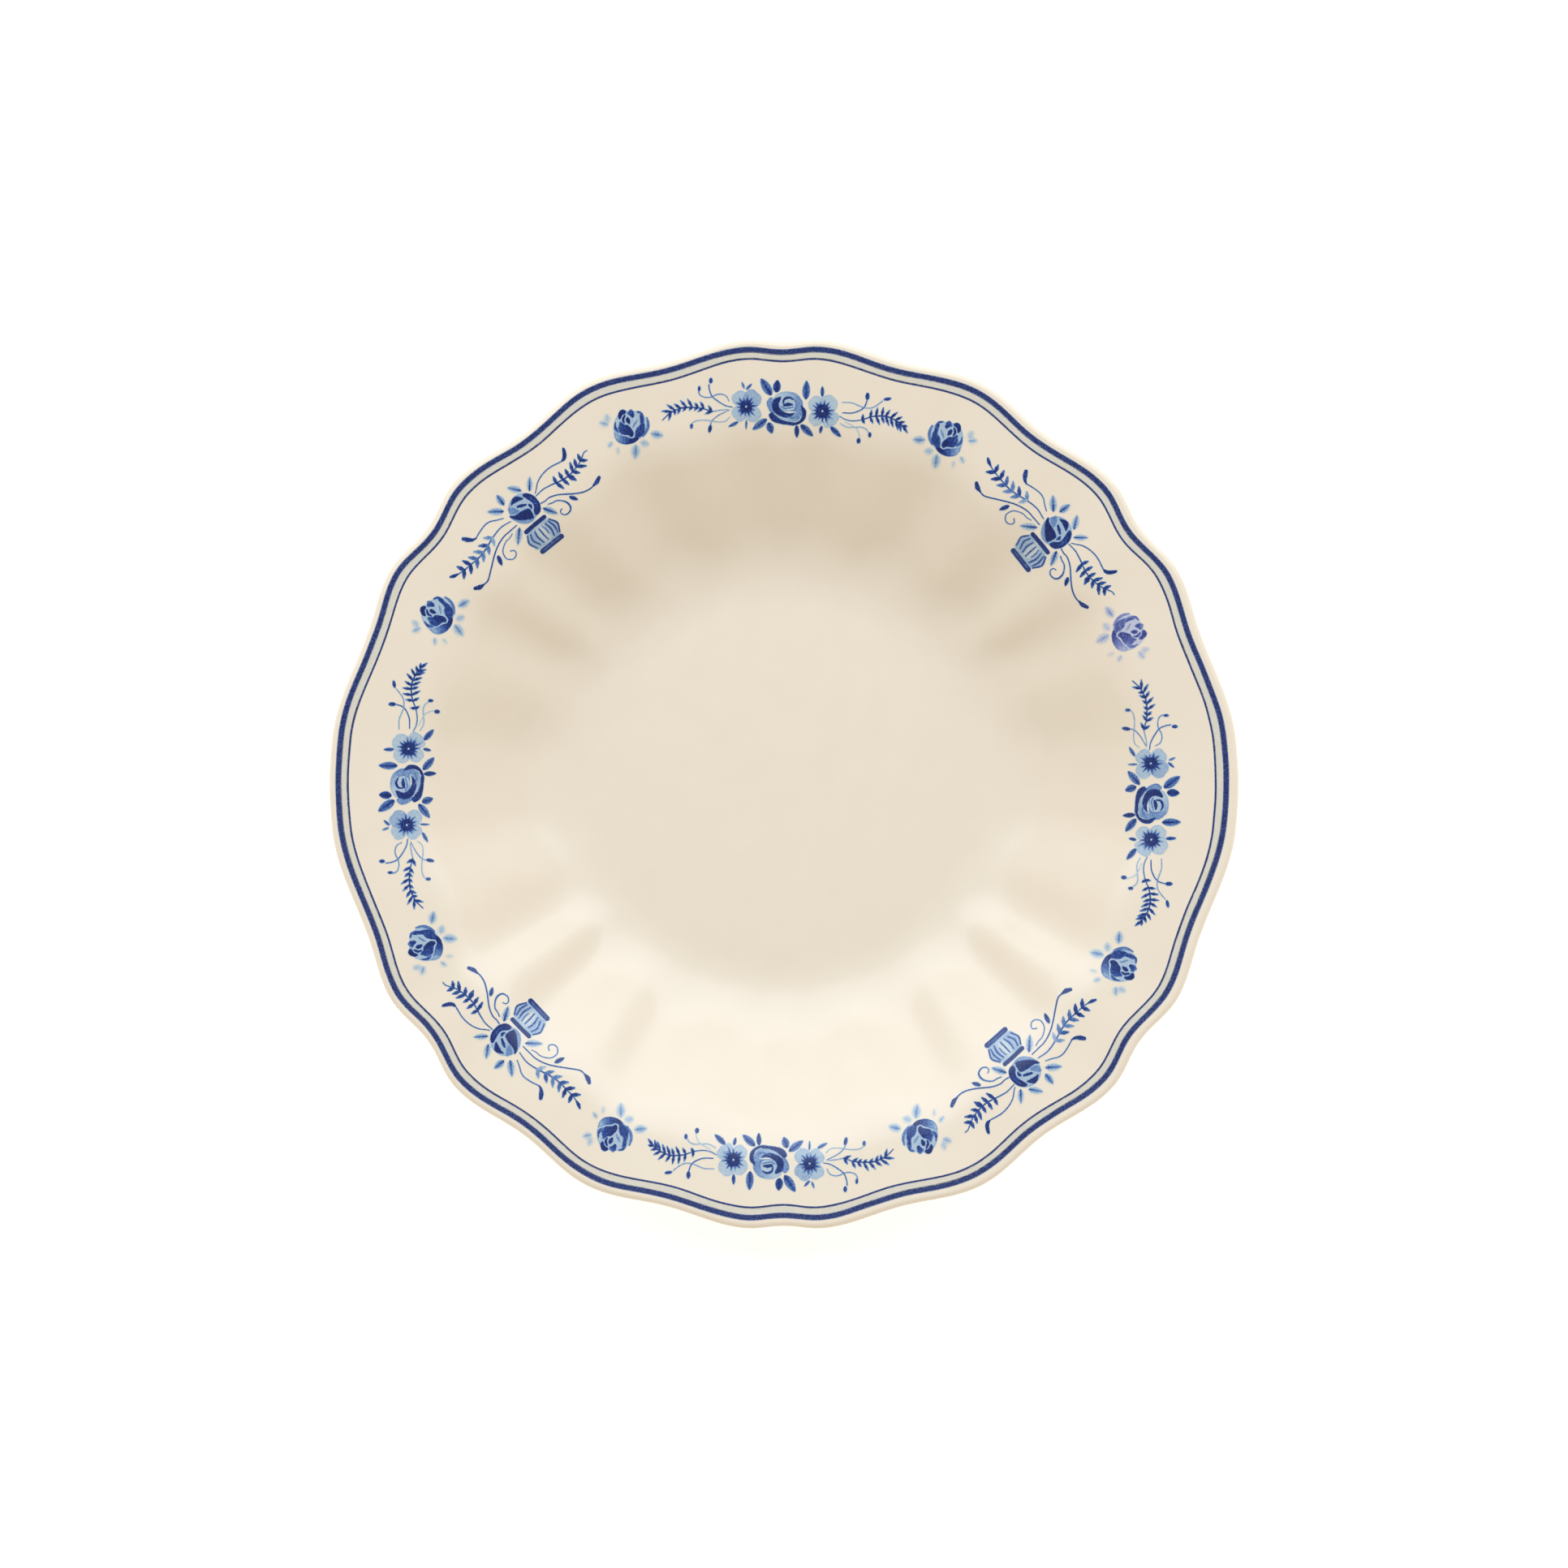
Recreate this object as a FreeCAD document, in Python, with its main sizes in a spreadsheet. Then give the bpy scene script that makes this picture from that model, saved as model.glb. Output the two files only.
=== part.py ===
"""Rimmed deep plate in glazed porcelain, with a lobed edge, a fluted wall and printed blue decoration.

Millimetres, +Z up. The origin is on the table, in the middle of the foot ring. The plate's long width
lies along X. Plan angles, of the lobes and of the prints, are counted clockwise from +Y.

The plate is one fired body, so its sub-parts are the layers that are fused on it, from the inside out:
the porcelain body, the glaze over it (one coat outside the foot ring, one area inside the ring), three
printed bands that follow the edge, and sixteen printed motifs: garlands, vases and roses.
"""

import FreeCAD, Part
import math
import os

import Sketcher
from FreeCAD import Placement, Rotation, Vector

# Alias, value, what it is. Angles are in degrees, everything else in millimetres.
SIZES = [
    ("mean_radius", 123.0, "radius that the lobes swing about, at the edge"),
    ("floor_disc", 6.0, "level disc in the middle of the floor"),
    ("floor_height", 8.0, "glazed floor in the middle, over the table"),
    ("floor_radius", 50.0, "the gently domed floor ends here"),
    ("floor_slope", -1.6, "slope there: the floor falls outwards"),
    ("wall_start", 74.0, "radius where the wall becomes straight"),
    ("wall_end", 94.0, "radius where the wall starts to bend over"),
    ("wall_slope", 32.0, "slope of the wall"),
    ("rim_start", 105.0, "radius where the rim begins"),
    ("rim_slope", 9.0, "slope of the rim at its inner end"),
    ("edge_slope", 8.0, "slope of the rim at the lip"),
    ("lip_radius", 1.5, "half the thickness of the rounded lip"),
    ("under_start", 60.0, "underside: radius where it begins, over the foot ring"),
    ("under_slope", 12.0, "its slope there"),
    ("under_wall_start", 75.0, "underside: radius where the wall becomes straight"),
    ("under_wall_end", 97.0, "underside: radius where the wall starts to bend over"),
    ("under_rim_start", 108.0, "underside: radius where the rim begins"),
    ("flute_start", 52.0, "radius where the flutes rise out of the round floor"),
    ("flute_full", 74.0, "radius from which they are at least as deep as the lobes of the edge"),
    ("flute_end", 108.0, "radius from which they are just as deep as the lobes"),
    ("flute_swell", 0.8, "how much deeper they are on the wall, as a share"),
    ("recess_height", 3.2, "glazed underside inside the foot ring, over the table"),
    ("foot_inner_root", 57.0, "foot ring, inner side at the recess"),
    ("foot_inner_tip", 58.6, "foot ring, inner edge of the standing face"),
    ("foot_outer_tip", 61.6, "foot ring, outer edge of the standing face"),
    ("foot_outer_root", 63.6, "foot ring, outer side inside the wall"),
    ("foot_core_height", 6.6, "height inside the wall where the foot ring's disc ends"),
    ("foot_round", 0.6, "rounding of the standing face's two edges"),
    ("glaze_line", 0.9, "height of the glaze's edge on the foot ring"),
    ("glaze_thickness", 0.25, "glaze coat"),
    ("print_thickness", 0.1, "printed colour"),
    ("cutter_height", 50.0, "height of the prisms that cut the prints out"),
    ("rim_line_outer", 120.65, "broad blue line, outer edge"),
    ("rim_line_inner", 119.2, "broad blue line, inner edge"),
    ("fine_line_outer", 117.5, "fine blue line, outer edge"),
    ("fine_line_inner", 117.05, "fine blue line, inner edge"),
]

# Lobes of the edge over one quarter: angle from +Y, and radius. The other quarters mirror it.
LOBES = [
    (0.0, 121.5),
    (5.0, 122.6),
    (15.3, 120.5),
    (26.0, 123.0),
    (36.5, 120.1),
    (47.3, 123.0),
    (54.2, 120.7),
    (61.8, 123.3),
    (70.0, 121.8),
    (84.5, 124.9),
    (90.0, 125.0),
]

# Points of a closed curve around the plate.
RING_POINTS = 180
# The surfaces' seam, where they close on themselves: a gap between two motifs.
SEAM_ANGLE = 114.0
# A printed band is built in this many sectors.
SECTORS = 12
# Largest grid spacing of the ground under a motif, in millimetres.
PATCH_STEP = 2.5
# Between two points of the section: the most degrees of turn, and the most millimetres.
ARC_STEP = 5.0
MOST_STEP = 3.0
LIP_STEPS = 8

doc = FreeCAD.newDocument("deep_plate")


def make_sheet():
    """The driving dimensions, one alias a row."""
    made = doc.addObject("Spreadsheet::Sheet", "Sizes")
    rows = list(SIZES)
    for number, (angle, radius) in enumerate(LOBES):
        rows.append((f"lobe_angle_{number}", angle, "angle of a crest or a trough"))
        rows.append((f"lobe_radius_{number}", radius, "radius of the edge there"))
    for row, (alias, value, note) in enumerate(rows, start=1):
        made.set(f"A{row}", alias)
        made.set(f"B{row}", repr(value))
        made.set(f"C{row}", note)
        made.setAlias(f"B{row}", alias)
    return made


sheet = make_sheet()
doc.recompute()


def size(alias):
    return float(sheet.get(alias))


def feature(name, shape):
    """A shape that no workbench feature makes."""
    made = doc.addObject("Part::Feature", name)
    made.Shape = shape
    made.Placement = Placement()
    return made


def boolean(kind, name, base, tool):
    made = doc.addObject("Part::" + kind, name)
    made.Base = base
    made.Tool = tool
    return made


def extrusion(name, base, length_alias):
    """base pushed straight up by a length of the sheet."""
    made = doc.addObject("Part::Extrusion", name)
    made.Base = base
    made.DirMode = "Custom"
    made.Dir = Vector(0, 0, 1)
    made.Solid = True
    made.setExpression("LengthFwd", "Sizes." + length_alias)
    return made


# ---- Meridian: the plate's section from the middle of the floor, over the lip, to the foot ----------


def sine(degrees):
    return math.sin(math.radians(degrees))


def cosine(degrees):
    return math.cos(math.radians(degrees))


def rise(radius, near, far):
    """Height gained between stations (radius, slope), along a circular arc or a straight line."""
    (r0, s0), (r1, s1) = near, far
    if abs(s1 - s0) < 1e-9:
        return (radius - r0) * math.tan(math.radians(s0))
    bend = (sine(s1) - sine(s0)) / (r1 - r0)
    here = sine(s0) + bend * (radius - r0)
    return (cosine(s0) - math.sqrt(1 - here * here)) / bend


def walk(stations, height):
    """Points (radius, height, slope) through the stations, and the numbers of the stations' own."""
    points, breaks = [], []
    for near, far in zip(stations, stations[1:]):
        breaks.append(len(points))
        (r0, s0), (r1, s1) = near, far
        steps = math.ceil(max(abs(s1 - s0) / ARC_STEP, (r1 - r0) / MOST_STEP))
        for i in range(steps):
            radius = r0 + (r1 - r0) * i / steps
            slope = math.degrees(math.asin(sine(s0) + (sine(s1) - sine(s0)) * i / steps))
            points.append((radius, height + rise(radius, near, far), slope))
        height += rise(r1, near, far)
    breaks.append(len(points))
    points.append((stations[-1][0], height, stations[-1][1]))
    return points, breaks


LIP_MIDDLE = size("mean_radius") - size("lip_radius")
UPPER_STATIONS = [
    (size("floor_disc"), 0.0),
    (size("floor_radius"), size("floor_slope")),
    (size("wall_start"), size("wall_slope")),
    (size("wall_end"), size("wall_slope")),
    (size("rim_start"), size("rim_slope")),
    (LIP_MIDDLE - size("lip_radius") * sine(size("edge_slope")), size("edge_slope")),
]
UNDER_STATIONS = [
    (size("under_start"), size("under_slope")),
    (size("under_wall_start"), size("wall_slope")),
    (size("under_wall_end"), size("wall_slope")),
    (size("under_rim_start"), size("rim_slope")),
    (LIP_MIDDLE + size("lip_radius") * sine(size("edge_slope")), size("edge_slope")),
]


def upper_height(radius):
    """Height of the glazed upper side, where the edge is at its mean radius."""
    height = size("floor_height")
    for near, far in zip(UPPER_STATIONS, UPPER_STATIONS[1:]):
        if radius <= far[0]:
            return height + rise(radius, near, far)
        height += rise(far[0], near, far)
    return height


def meridian():
    """The glazed section as points (radius, height, outward normal), and the numbers of the points
    where one stretch of it gives way to the next."""
    lip, edge = size("lip_radius"), size("edge_slope")
    upper, upper_breaks = walk(UPPER_STATIONS, size("floor_height"))
    lip_height = upper[-1][1] - lip * cosine(edge)
    under, under_breaks = walk(UNDER_STATIONS, 0.0)
    lift = lip_height - lip * cosine(edge) - under[-1][1]
    points = [(r, z, (-sine(s), cosine(s))) for r, z, s in upper]
    for i in range(1, LIP_STEPS):
        turn = 90.0 + edge - 180.0 * i / LIP_STEPS
        out, up = cosine(turn), sine(turn)
        points.append((LIP_MIDDLE + lip * out, lip_height + lip * up, (out, up)))
    points += [(r, z + lift, (sine(s), -cosine(s))) for r, z, s in reversed(under)]
    last = len(points) - 1
    return points, upper_breaks + [last - number for number in reversed(under_breaks)]


def run_lengths(points):
    """Length along the meridian up to each of its points."""
    lengths = [0.0]
    for (r0, z0, _), (r1, z1, _) in zip(points, points[1:]):
        lengths.append(lengths[-1] + math.hypot(r1 - r0, z1 - z0))
    return lengths


MERIDIAN, BREAKS = meridian()
RUN = run_lengths(MERIDIAN)


# ---- Plan: the lobed edge, and the flutes that carry it down the wall -------------------------------


def edge_radius(angle):
    """Radius of the lobed edge: half waves between its crests and troughs."""
    folded = angle % 180.0
    folded = min(folded, 180.0 - folded)
    for number in range(len(LOBES) - 1):
        a0, a1 = size(f"lobe_angle_{number}"), size(f"lobe_angle_{number + 1}")
        if folded <= a1:
            break
    r0, r1 = size(f"lobe_radius_{number}"), size(f"lobe_radius_{number + 1}")
    share = (1 - math.cos(math.pi * (folded - a0) / (a1 - a0))) / 2
    return r0 + (r1 - r0) * share


RING_ANGLES = [SEAM_ANGLE + 360.0 * i / RING_POINTS for i in range(RING_POINTS)]
SWING = [edge_radius(angle) / size("mean_radius") - 1 for angle in RING_ANGLES]


def flute_share(radius):
    """Depth of the flutes: 0 on the round floor, 1 along the lobed rim, and more on the wall."""
    start, full, end = size("flute_start"), size("flute_full"), size("flute_end")
    share = min(1.0, max(0.0, (radius - start) / (full - start)))
    along = min(1.0, max(0.0, (radius - start) / (end - start)))
    swell = size("flute_swell") * math.sin(math.pi * along) ** 2
    return share * share * (3 - 2 * share) * (1 + swell)


def round_radius(x, y):
    """Radius that the spot over (x, y) would have on a round plate, without lobes and flutes."""
    swing = edge_radius(math.degrees(math.atan2(x, y))) / size("mean_radius") - 1
    reach = math.hypot(x, y)
    radius = reach
    for _ in range(4):
        radius = reach / (1 + flute_share(radius) * swing)
    return radius


def ring(radius, height, share):
    """Points of a closed level curve whose radius follows the lobes by that share."""
    points = []
    for angle, swing in zip(RING_ANGLES, SWING):
        reach = radius * (1 + share * swing)
        points.append(Vector(reach * sine(angle), reach * cosine(angle), height))
    return points


def spline(points, parameters, closed):
    curve = Part.BSplineCurve()
    curve.interpolate(Points=points, Parameters=parameters, PeriodicFlag=closed)
    return curve


def dish_surface(inset):
    """One smooth surface over the upper side, the lip and the underside, moved in by inset.

    It is closed around the plate. Its second parameter is the length along the meridian."""
    around = [float(i) for i in range(RING_POINTS + 1)]
    turns = []
    for radius, height, (out, up) in MERIDIAN:
        points = ring(radius - inset * out, height - inset * up, flute_share(radius))
        turns.append(spline(points, around, True))
    poles = []
    for column in zip(*[turn.getPoles() for turn in turns]):
        profile = spline(list(column), RUN, False)
        poles.append(profile.getPoles())
    surface = Part.BSplineSurface()
    surface.buildFromPolesMultsKnots(
        poles,
        turns[0].getMultiplicities(),
        profile.getMultiplicities(),
        turns[0].getKnots(),
        profile.getKnots(),
        True,
        False,
        turns[0].Degree,
        profile.Degree,
    )
    return surface


def dish(name, inset):
    """The plate without its foot ring, as a solid."""
    surface = dish_surface(inset)
    faces = []
    for near, far in zip(BREAKS, BREAKS[1:]):
        faces.append(surface.toShape(0, RING_POINTS, RUN[near], RUN[far]))
    for end in (RUN[0], RUN[-1]):
        faces.append(Part.Face(Part.Wire(surface.vIso(end).toShape())))
    shell = Part.makeShell(faces)
    shell.sewShape()
    solid = Part.makeSolid(Part.Shell(shell.Faces))
    if solid.Volume < 0:
        solid.reverse()
    return feature(name, solid)


# ---- The foot ring and the disc it stands under, turned on the wheel --------------------------------


def plane_of(body, role):
    return next(item for item in body.Origin.OriginFeatures if item.Role == role)


def foot_ring(name, coat, tip):
    """Turned foot ring. coat says how far its sides stand out and tip where it ends: both are
    expressions, and without a tip the ring reaches the table."""
    body = doc.addObject("PartDesign::Body", name)
    sketch = body.newObject("Sketcher::SketchObject", name + "_profile")
    sketch.AttachmentSupport = [(plane_of(body, "XZ_Plane"), "")]
    sketch.MapMode = "FlatFace"
    corners = [
        ("axis_low", 0, 3, None, f"Sizes.recess_height + Sizes.glaze_thickness - {coat}"),
        ("inner_root", 57, 3, f"Sizes.foot_inner_root - {coat}", None),
        ("inner_tip", 58, 0.5, f"Sizes.foot_inner_tip - {coat}", tip),
        ("outer_tip", 61, 0.5, f"Sizes.foot_outer_tip + {coat}", None),
        ("outer_root", 63, 6, f"Sizes.foot_outer_root + {coat}", "Sizes.foot_core_height"),
        ("axis_high", 0, 6, None, None),
    ]
    spots = [Vector(x, y, 0) for _, x, y, _, _ in corners]
    count = len(spots)
    for number in range(count):
        line = Part.LineSegment(spots[number], spots[(number + 1) % count])
        sketch.addGeometry(line, False)
    for number in range(count):
        sketch.addConstraint(Sketcher.Constraint("Coincident", number, 2, (number + 1) % count, 1))
    for level in (0, 2, 4):
        sketch.addConstraint(Sketcher.Constraint("Horizontal", level))
    for on_axis in (0, 5):
        sketch.addConstraint(Sketcher.Constraint("PointOnObject", on_axis, 1, -2))
    if tip is None:
        sketch.addConstraint(Sketcher.Constraint("PointOnObject", 2, 1, -1))
    for number, (label, x, y, across, up) in enumerate(corners):
        for kind, guess, expression in (("DistanceX", x, across), ("DistanceY", y, up)):
            if expression is None:
                continue
            made = sketch.addConstraint(Sketcher.Constraint(kind, -1, 1, number, 1, float(guess)))
            sketch.renameConstraint(made, f"{label}_{kind[-1].lower()}")
            sketch.setExpression(f"Constraints.{label}_{kind[-1].lower()}", expression)
    doc.recompute()
    turned = body.newObject("PartDesign::Revolution", name + "_turned")
    turned.Profile = sketch
    turned.ReferenceAxis = (sketch, ["V_Axis"])
    turned.Angle = 360.0
    doc.recompute()
    return body


def round_standing_face(body):
    """Rounds the two edges of the level ring that the plate stands on."""
    turned = body.Tip
    names = []
    for number, edge in enumerate(turned.Shape.Edges, start=1):
        if edge.BoundBox.ZMax < 0.01:
            names.append(f"Edge{number}")
    rounded = body.newObject("PartDesign::Fillet", body.Name + "_rounded")
    rounded.Base = (turned, names)
    rounded.setExpression("Radius", "Sizes.foot_round")
    doc.recompute()


def body_and_glaze():
    """The porcelain, and the glaze around it as one coat outside the foot ring and one area inside.

    The ring's standing face is bare, as it has to be in the kiln."""
    bare_dish = dish("bare_dish", size("glaze_thickness"))
    bare_foot = foot_ring("bare_foot", "0", None)
    round_standing_face(bare_foot)
    body = boolean("Fuse", "porcelain_body", bare_dish, bare_foot)
    glazed_dish = dish("glazed_dish", 0.0)
    glazed_foot = foot_ring("glazed_foot", "Sizes.glaze_thickness", "Sizes.glaze_line")
    glazed_plate = boolean("Fuse", "glazed_plate", glazed_dish, glazed_foot)
    glaze = boolean("Cut", "whole_glaze", glazed_plate, body)
    inside_ring = doc.addObject("Part::Cylinder", "inside_ring")
    inside_ring.setExpression("Radius", "(Sizes.foot_inner_tip + Sizes.foot_outer_tip) / 2")
    inside_ring.setExpression("Height", "Sizes.foot_core_height")
    coat = boolean("Cut", "glaze_coat", glaze, inside_ring)
    underfoot = boolean("Common", "glaze_underfoot", glaze, inside_ring)
    return [body, coat, underfoot]


# ---- Printed decoration: thin patches that lie on the glaze -----------------------------------------


def patch_under(name, place, reach):
    """The glazed upper surface around a motif, as one small face of its own."""
    (x0, y0), (x1, y1) = reach
    columns = math.ceil((x1 - x0) / PATCH_STEP)
    rows = math.ceil((y1 - y0) / PATCH_STEP)
    grid = []
    for i in range(columns + 1):
        line = []
        for j in range(rows + 1):
            flat = Vector(x0 + (x1 - x0) * i / columns, y0 + (y1 - y0) * j / rows, 0)
            spot = place.multVec(flat)
            line.append(Vector(spot.x, spot.y, upper_height(round_radius(spot.x, spot.y))))
        grid.append(line)
    surface = Part.BSplineSurface()
    surface.interpolate(grid)
    return feature(name, surface.toShape())


def printed(name, ground, outline):
    """A print: the outline's shadow on the ground, with the thickness of the colour."""
    prism = extrusion(name + "_prism", outline, "cutter_height")
    patch = boolean("Common", name + "_patch", ground, prism)
    return extrusion(name, patch, "print_thickness")


def band(name, outer, inner):
    """A printed ring between two radii that both follow the lobes, as ruled faces in sectors."""
    around = [float(i) for i in range(RING_POINTS + 1)]
    low, high = upper_height(inner), upper_height(outer)
    colour = size("print_thickness")
    corners = [(outer, high), (outer, high + colour), (inner, low + colour), (inner, low)]
    curves = [spline(ring(radius, height, 1.0), around, True) for radius, height in corners]
    step = RING_POINTS // SECTORS
    faces = []
    for first, second in zip(curves, curves[1:] + curves[:1]):
        for start in range(0, RING_POINTS, step):
            edges = [curve.toShape(start, start + step) for curve in (first, second)]
            faces.append(Part.makeRuledSurface(*edges))
    shell = Part.makeShell(faces)
    shell.sewShape()
    solid = Part.makeSolid(Part.Shell(shell.Faces))
    if solid.Volume < 0:
        solid.reverse()
    return feature(name, solid)


def bands():
    """Broad blue line, pale wash, fine blue line, each meeting the next."""
    line_outer, line_inner = size("rim_line_outer"), size("rim_line_inner")
    fine_outer, fine_inner = size("fine_line_outer"), size("fine_line_inner")
    return [
        band("rim_line", line_outer, line_inner),
        band("rim_wash", line_inner, fine_outer),
        band("fine_line", fine_outer, fine_inner),
    ]


# Motifs are drawn flat, in millimetres from their own middle: x clockwise along the rim, y outwards.
# A leaf is (x, y, direction of its tip in degrees from +x, length, width), a disc (x, y, radius), a
# bar (x, y, width, height), a barrel (x, y, width at its ends, bulge of its sides, height), a frond
# (x and y of both ends, bulge of its spine, width). reach is the corners of a box around the motif.
ROSE = {
    "reach": ((-9, -10.5), (9.5, 7.5)),
    "discs": [(0, 0, 4.9)],
    "leaves": [
        (5.2, 4.3, 100, 3.2, 1.7),
        (6.9, 2.6, 25, 3.2, 1.6),
        (-5.6, -4.9, 213, 4.0, 1.8),
        (-1.9, -6.6, 210, 2.8, 1.7),
        (1.5, -7.3, -50, 4.0, 2.2),
        (5.7, -4.9, -60, 2.2, 1.1),
        (7.0, -2.9, -15, 2.1, 1.1),
    ],
}

GARLAND = {
    "reach": ((-36, -10), (36, 10.5)),
    "discs": [(0, 0, 4.9), (-11.2, 0.2, 4.1), (10.0, -0.4, 4.1)],
    "leaves": [
        (-6.2, 5.9, 125, 5.5, 2.2),
        (-3.3, 5.9, 90, 3.5, 2.0),
        (5.1, 5.2, 92, 4.8, 2.3),
        (9.4, 5.3, 90, 2.3, 1.1),
        (-12.5, 5.9, 127, 2.2, 0.8),
        (-10.3, 5.9, 44, 2.5, 0.8),
        (-7.3, -4.9, 218, 5.0, 2.3),
        (-4.2, -5.4, -67, 3.6, 1.9),
        (2.9, -6.6, -80, 2.9, 1.5),
        (5.8, -6.2, -37, 4.8, 2.2),
        (-14.4, -5.1, 211, 3.2, 1.1),
        (-10.9, -5.4, -85, 2.4, 0.7),
        (9.6, -5.9, -100, 2.2, 0.9),
        (13.8, -6.2, -35, 3.5, 1.6),
    ],
    "fronds": [(-20.5, -1.8, -34.0, -4.6, 1.8, 2.4), (20.5, -2.2, 33.6, -5.6, -2.2, 2.8)],
}

VASE = {
    "reach": ((-29, -14.5), (28, 9)),
    "discs": [(0, 0, 4.3)],
    "bars": [(0, -5.3, 7.6, 1.3), (0, -12.3, 7.8, 1.5)],
    "barrels": [(0, -8.75, 7.2, 1.3, 5.3)],
    "leaves": [
        (-6.8, 3.7, 144, 3.9, 1.8),
        (-3.6, 5.7, 90, 3.2, 1.8),
        (1.3, 5.8, 120, 3.1, 1.6),
        (5.3, 4.2, 50, 3.4, 1.5),
        (-6.0, -5.2, 224, 4.4, 1.9),
        (5.6, -4.9, -62, 3.9, 1.7),
    ],
    "fronds": [(-8.0, -0.6, -27.0, -2.2, -0.8, 2.6), (8.0, 0.6, 26.0, -1.6, -0.8, 2.6)],
}

# Where each motif lies: angle from +Y, radius of its middle, shift clockwise, tilt clockwise, and
# whether it is mirrored. They were laid by hand, so no two sit alike.
GARLANDS = [
    (0.5, 103.5, 0.1, 2, False),
    (93.0, 101.6, 0.4, -4, False),
    (182.0, 104.3, 0.7, 0, False),
    (270.5, 103.9, -0.8, 0, False),
]
VASES = [
    (46.5, 102.2, 1.4, 6, False),
    (140.0, 103.4, 0.1, 0, False),
    (227.0, 104.2, 0.75, 1, False),
    (316.5, 104.3, 0.4, 6, False),
]
ROSES = [
    (25.7, 105.4, -1.0, 10, False),
    (66.2, 103.6, 0.1, 22, False),
    (119.5, 105.2, -2.1, 9, False),
    (158.5, 104.3, 0.5, 0, True),
    (206.0, 107.5, -0.2, 2, False),
    (245.8, 108.3, 0.3, 0, True),
    (296.0, 106.1, 0.2, 0, True),
    (336.8, 107.2, -0.1, 0, True),
]


def at(x, y, angle=0.0):
    return Placement(Vector(x, y, 0), Rotation(Vector(0, 0, 1), angle))


def face_between(first, second):
    return Part.Face(Part.Wire([first.toShape(), second.toShape()]))


def bow(start, end, bulge):
    """Arc from start to end that passes the middle at that distance, to its left."""
    along = end - start
    left = Vector(-along.y, along.x, 0).normalize()
    return Part.Arc(start, (start + end) / 2 + left * bulge, end)


def leaf(x, y, angle, length, width):
    root, tip = Vector(-length / 2, 0, 0), Vector(length / 2, 0, 0)
    face = face_between(bow(root, tip, width / 2), bow(tip, root, width / 2))
    face.Placement = at(x, y, angle)
    return face


def frond(x0, y0, x1, y1, bulge, width):
    root, tip = Vector(x0, y0, 0), Vector(x1, y1, 0)
    return face_between(bow(root, tip, bulge + width / 2), bow(tip, root, width / 2 - bulge))


def disc(x, y, radius):
    return Part.Face(Part.Wire(Part.makeCircle(radius, Vector(x, y, 0))))


def bar(x, y, width, height):
    """A level bar with round ends."""
    half, reach = height / 2, (width - height) / 2
    corners = [Vector(sx * reach, sy * half, 0) for sx, sy in ((-1, -1), (1, -1), (1, 1), (-1, 1))]
    edges = [
        Part.makeLine(corners[0], corners[1]),
        Part.Arc(corners[1], Vector(reach + half, 0, 0), corners[2]).toShape(),
        Part.makeLine(corners[2], corners[3]),
        Part.Arc(corners[3], Vector(-reach - half, 0, 0), corners[0]).toShape(),
    ]
    face = Part.Face(Part.Wire(edges))
    face.Placement = at(x, y)
    return face


def barrel(x, y, width, bulge, height):
    half, reach = height / 2, width / 2
    corners = [Vector(sx * reach, sy * half, 0) for sx, sy in ((-1, -1), (1, -1), (1, 1), (-1, 1))]
    edges = [
        Part.makeLine(corners[0], corners[1]),
        bow(corners[1], corners[2], -bulge).toShape(),
        Part.makeLine(corners[2], corners[3]),
        bow(corners[3], corners[0], -bulge).toShape(),
    ]
    face = Part.Face(Part.Wire(edges))
    face.Placement = at(x, y)
    return face


def motif_outline(name, motif, place, mirrored):
    faces = [disc(*values) for values in motif.get("discs", [])]
    faces += [barrel(*values) for values in motif.get("barrels", [])]
    faces += [bar(*values) for values in motif.get("bars", [])]
    faces += [leaf(*values) for values in motif.get("leaves", [])]
    faces += [frond(*values) for values in motif.get("fronds", [])]
    flat = Part.makeCompound(faces)
    if mirrored:
        flat = flat.mirror(Vector(0, 0, 0), Vector(1, 0, 0))
    made = feature(name, flat)
    made.Placement = place
    return made


def transfers(kind, motif, spots):
    """One print for each spot of this kind of motif, numbered clockwise."""
    made = []
    for number, (angle, radius, shift, tilt, mirrored) in enumerate(spots, start=1):
        name = f"{kind}_transfer_{number}"
        x = radius * sine(angle) + shift * cosine(angle)
        y = radius * cosine(angle) - shift * sine(angle)
        place = at(x, y, -angle - tilt)
        (x0, y0), (x1, y1) = motif["reach"]
        reach = ((-x1, y0), (-x0, y1)) if mirrored else motif["reach"]
        ground = patch_under(name + "_ground", place, reach)
        outline = motif_outline(name + "_outline", motif, place, mirrored)
        made.append(printed(name, ground, outline))
    return made


# ---- The sub-parts, checked and written -------------------------------------------------------------


def finished(objects):
    """Every object has computed, and every sub-part is a closed, valid shape."""
    doc.recompute()
    for item in doc.Objects:
        if "Invalid" in item.State or "Error" in item.State:
            raise RuntimeError(f"{item.Name} has failed: {item.State}")
    for item in objects:
        shape = item.Shape
        if shape.isNull() or not shape.isValid() or not shape.Solids:
            raise RuntimeError(f"{item.Label} is not a valid solid")
    return objects


def main():
    parts = body_and_glaze() + bands()
    parts += transfers("garland", GARLAND, GARLANDS)
    parts += transfers("vase", VASE, VASES)
    parts += transfers("rose", ROSE, ROSES)
    os.makedirs("parts", exist_ok=True)
    for item in finished(parts):
        item.Label = item.Name
        item.Shape.exportStep(f"parts/{item.Label}.step")
        print(f"{item.Label:20} {len(item.Shape.Solids):3} solids {item.Shape.Volume:10.1f} mm3")


main()
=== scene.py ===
"""The looks of a deep china plate with a lobed edge, a fluted wall and a blue print.

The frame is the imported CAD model, in metres. The sizes below are the CAD model's own, in millimetres,
so the glaze, the bands and the motifs follow the same surface. Plan angles run clockwise from +Y.
"""

import math

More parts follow.
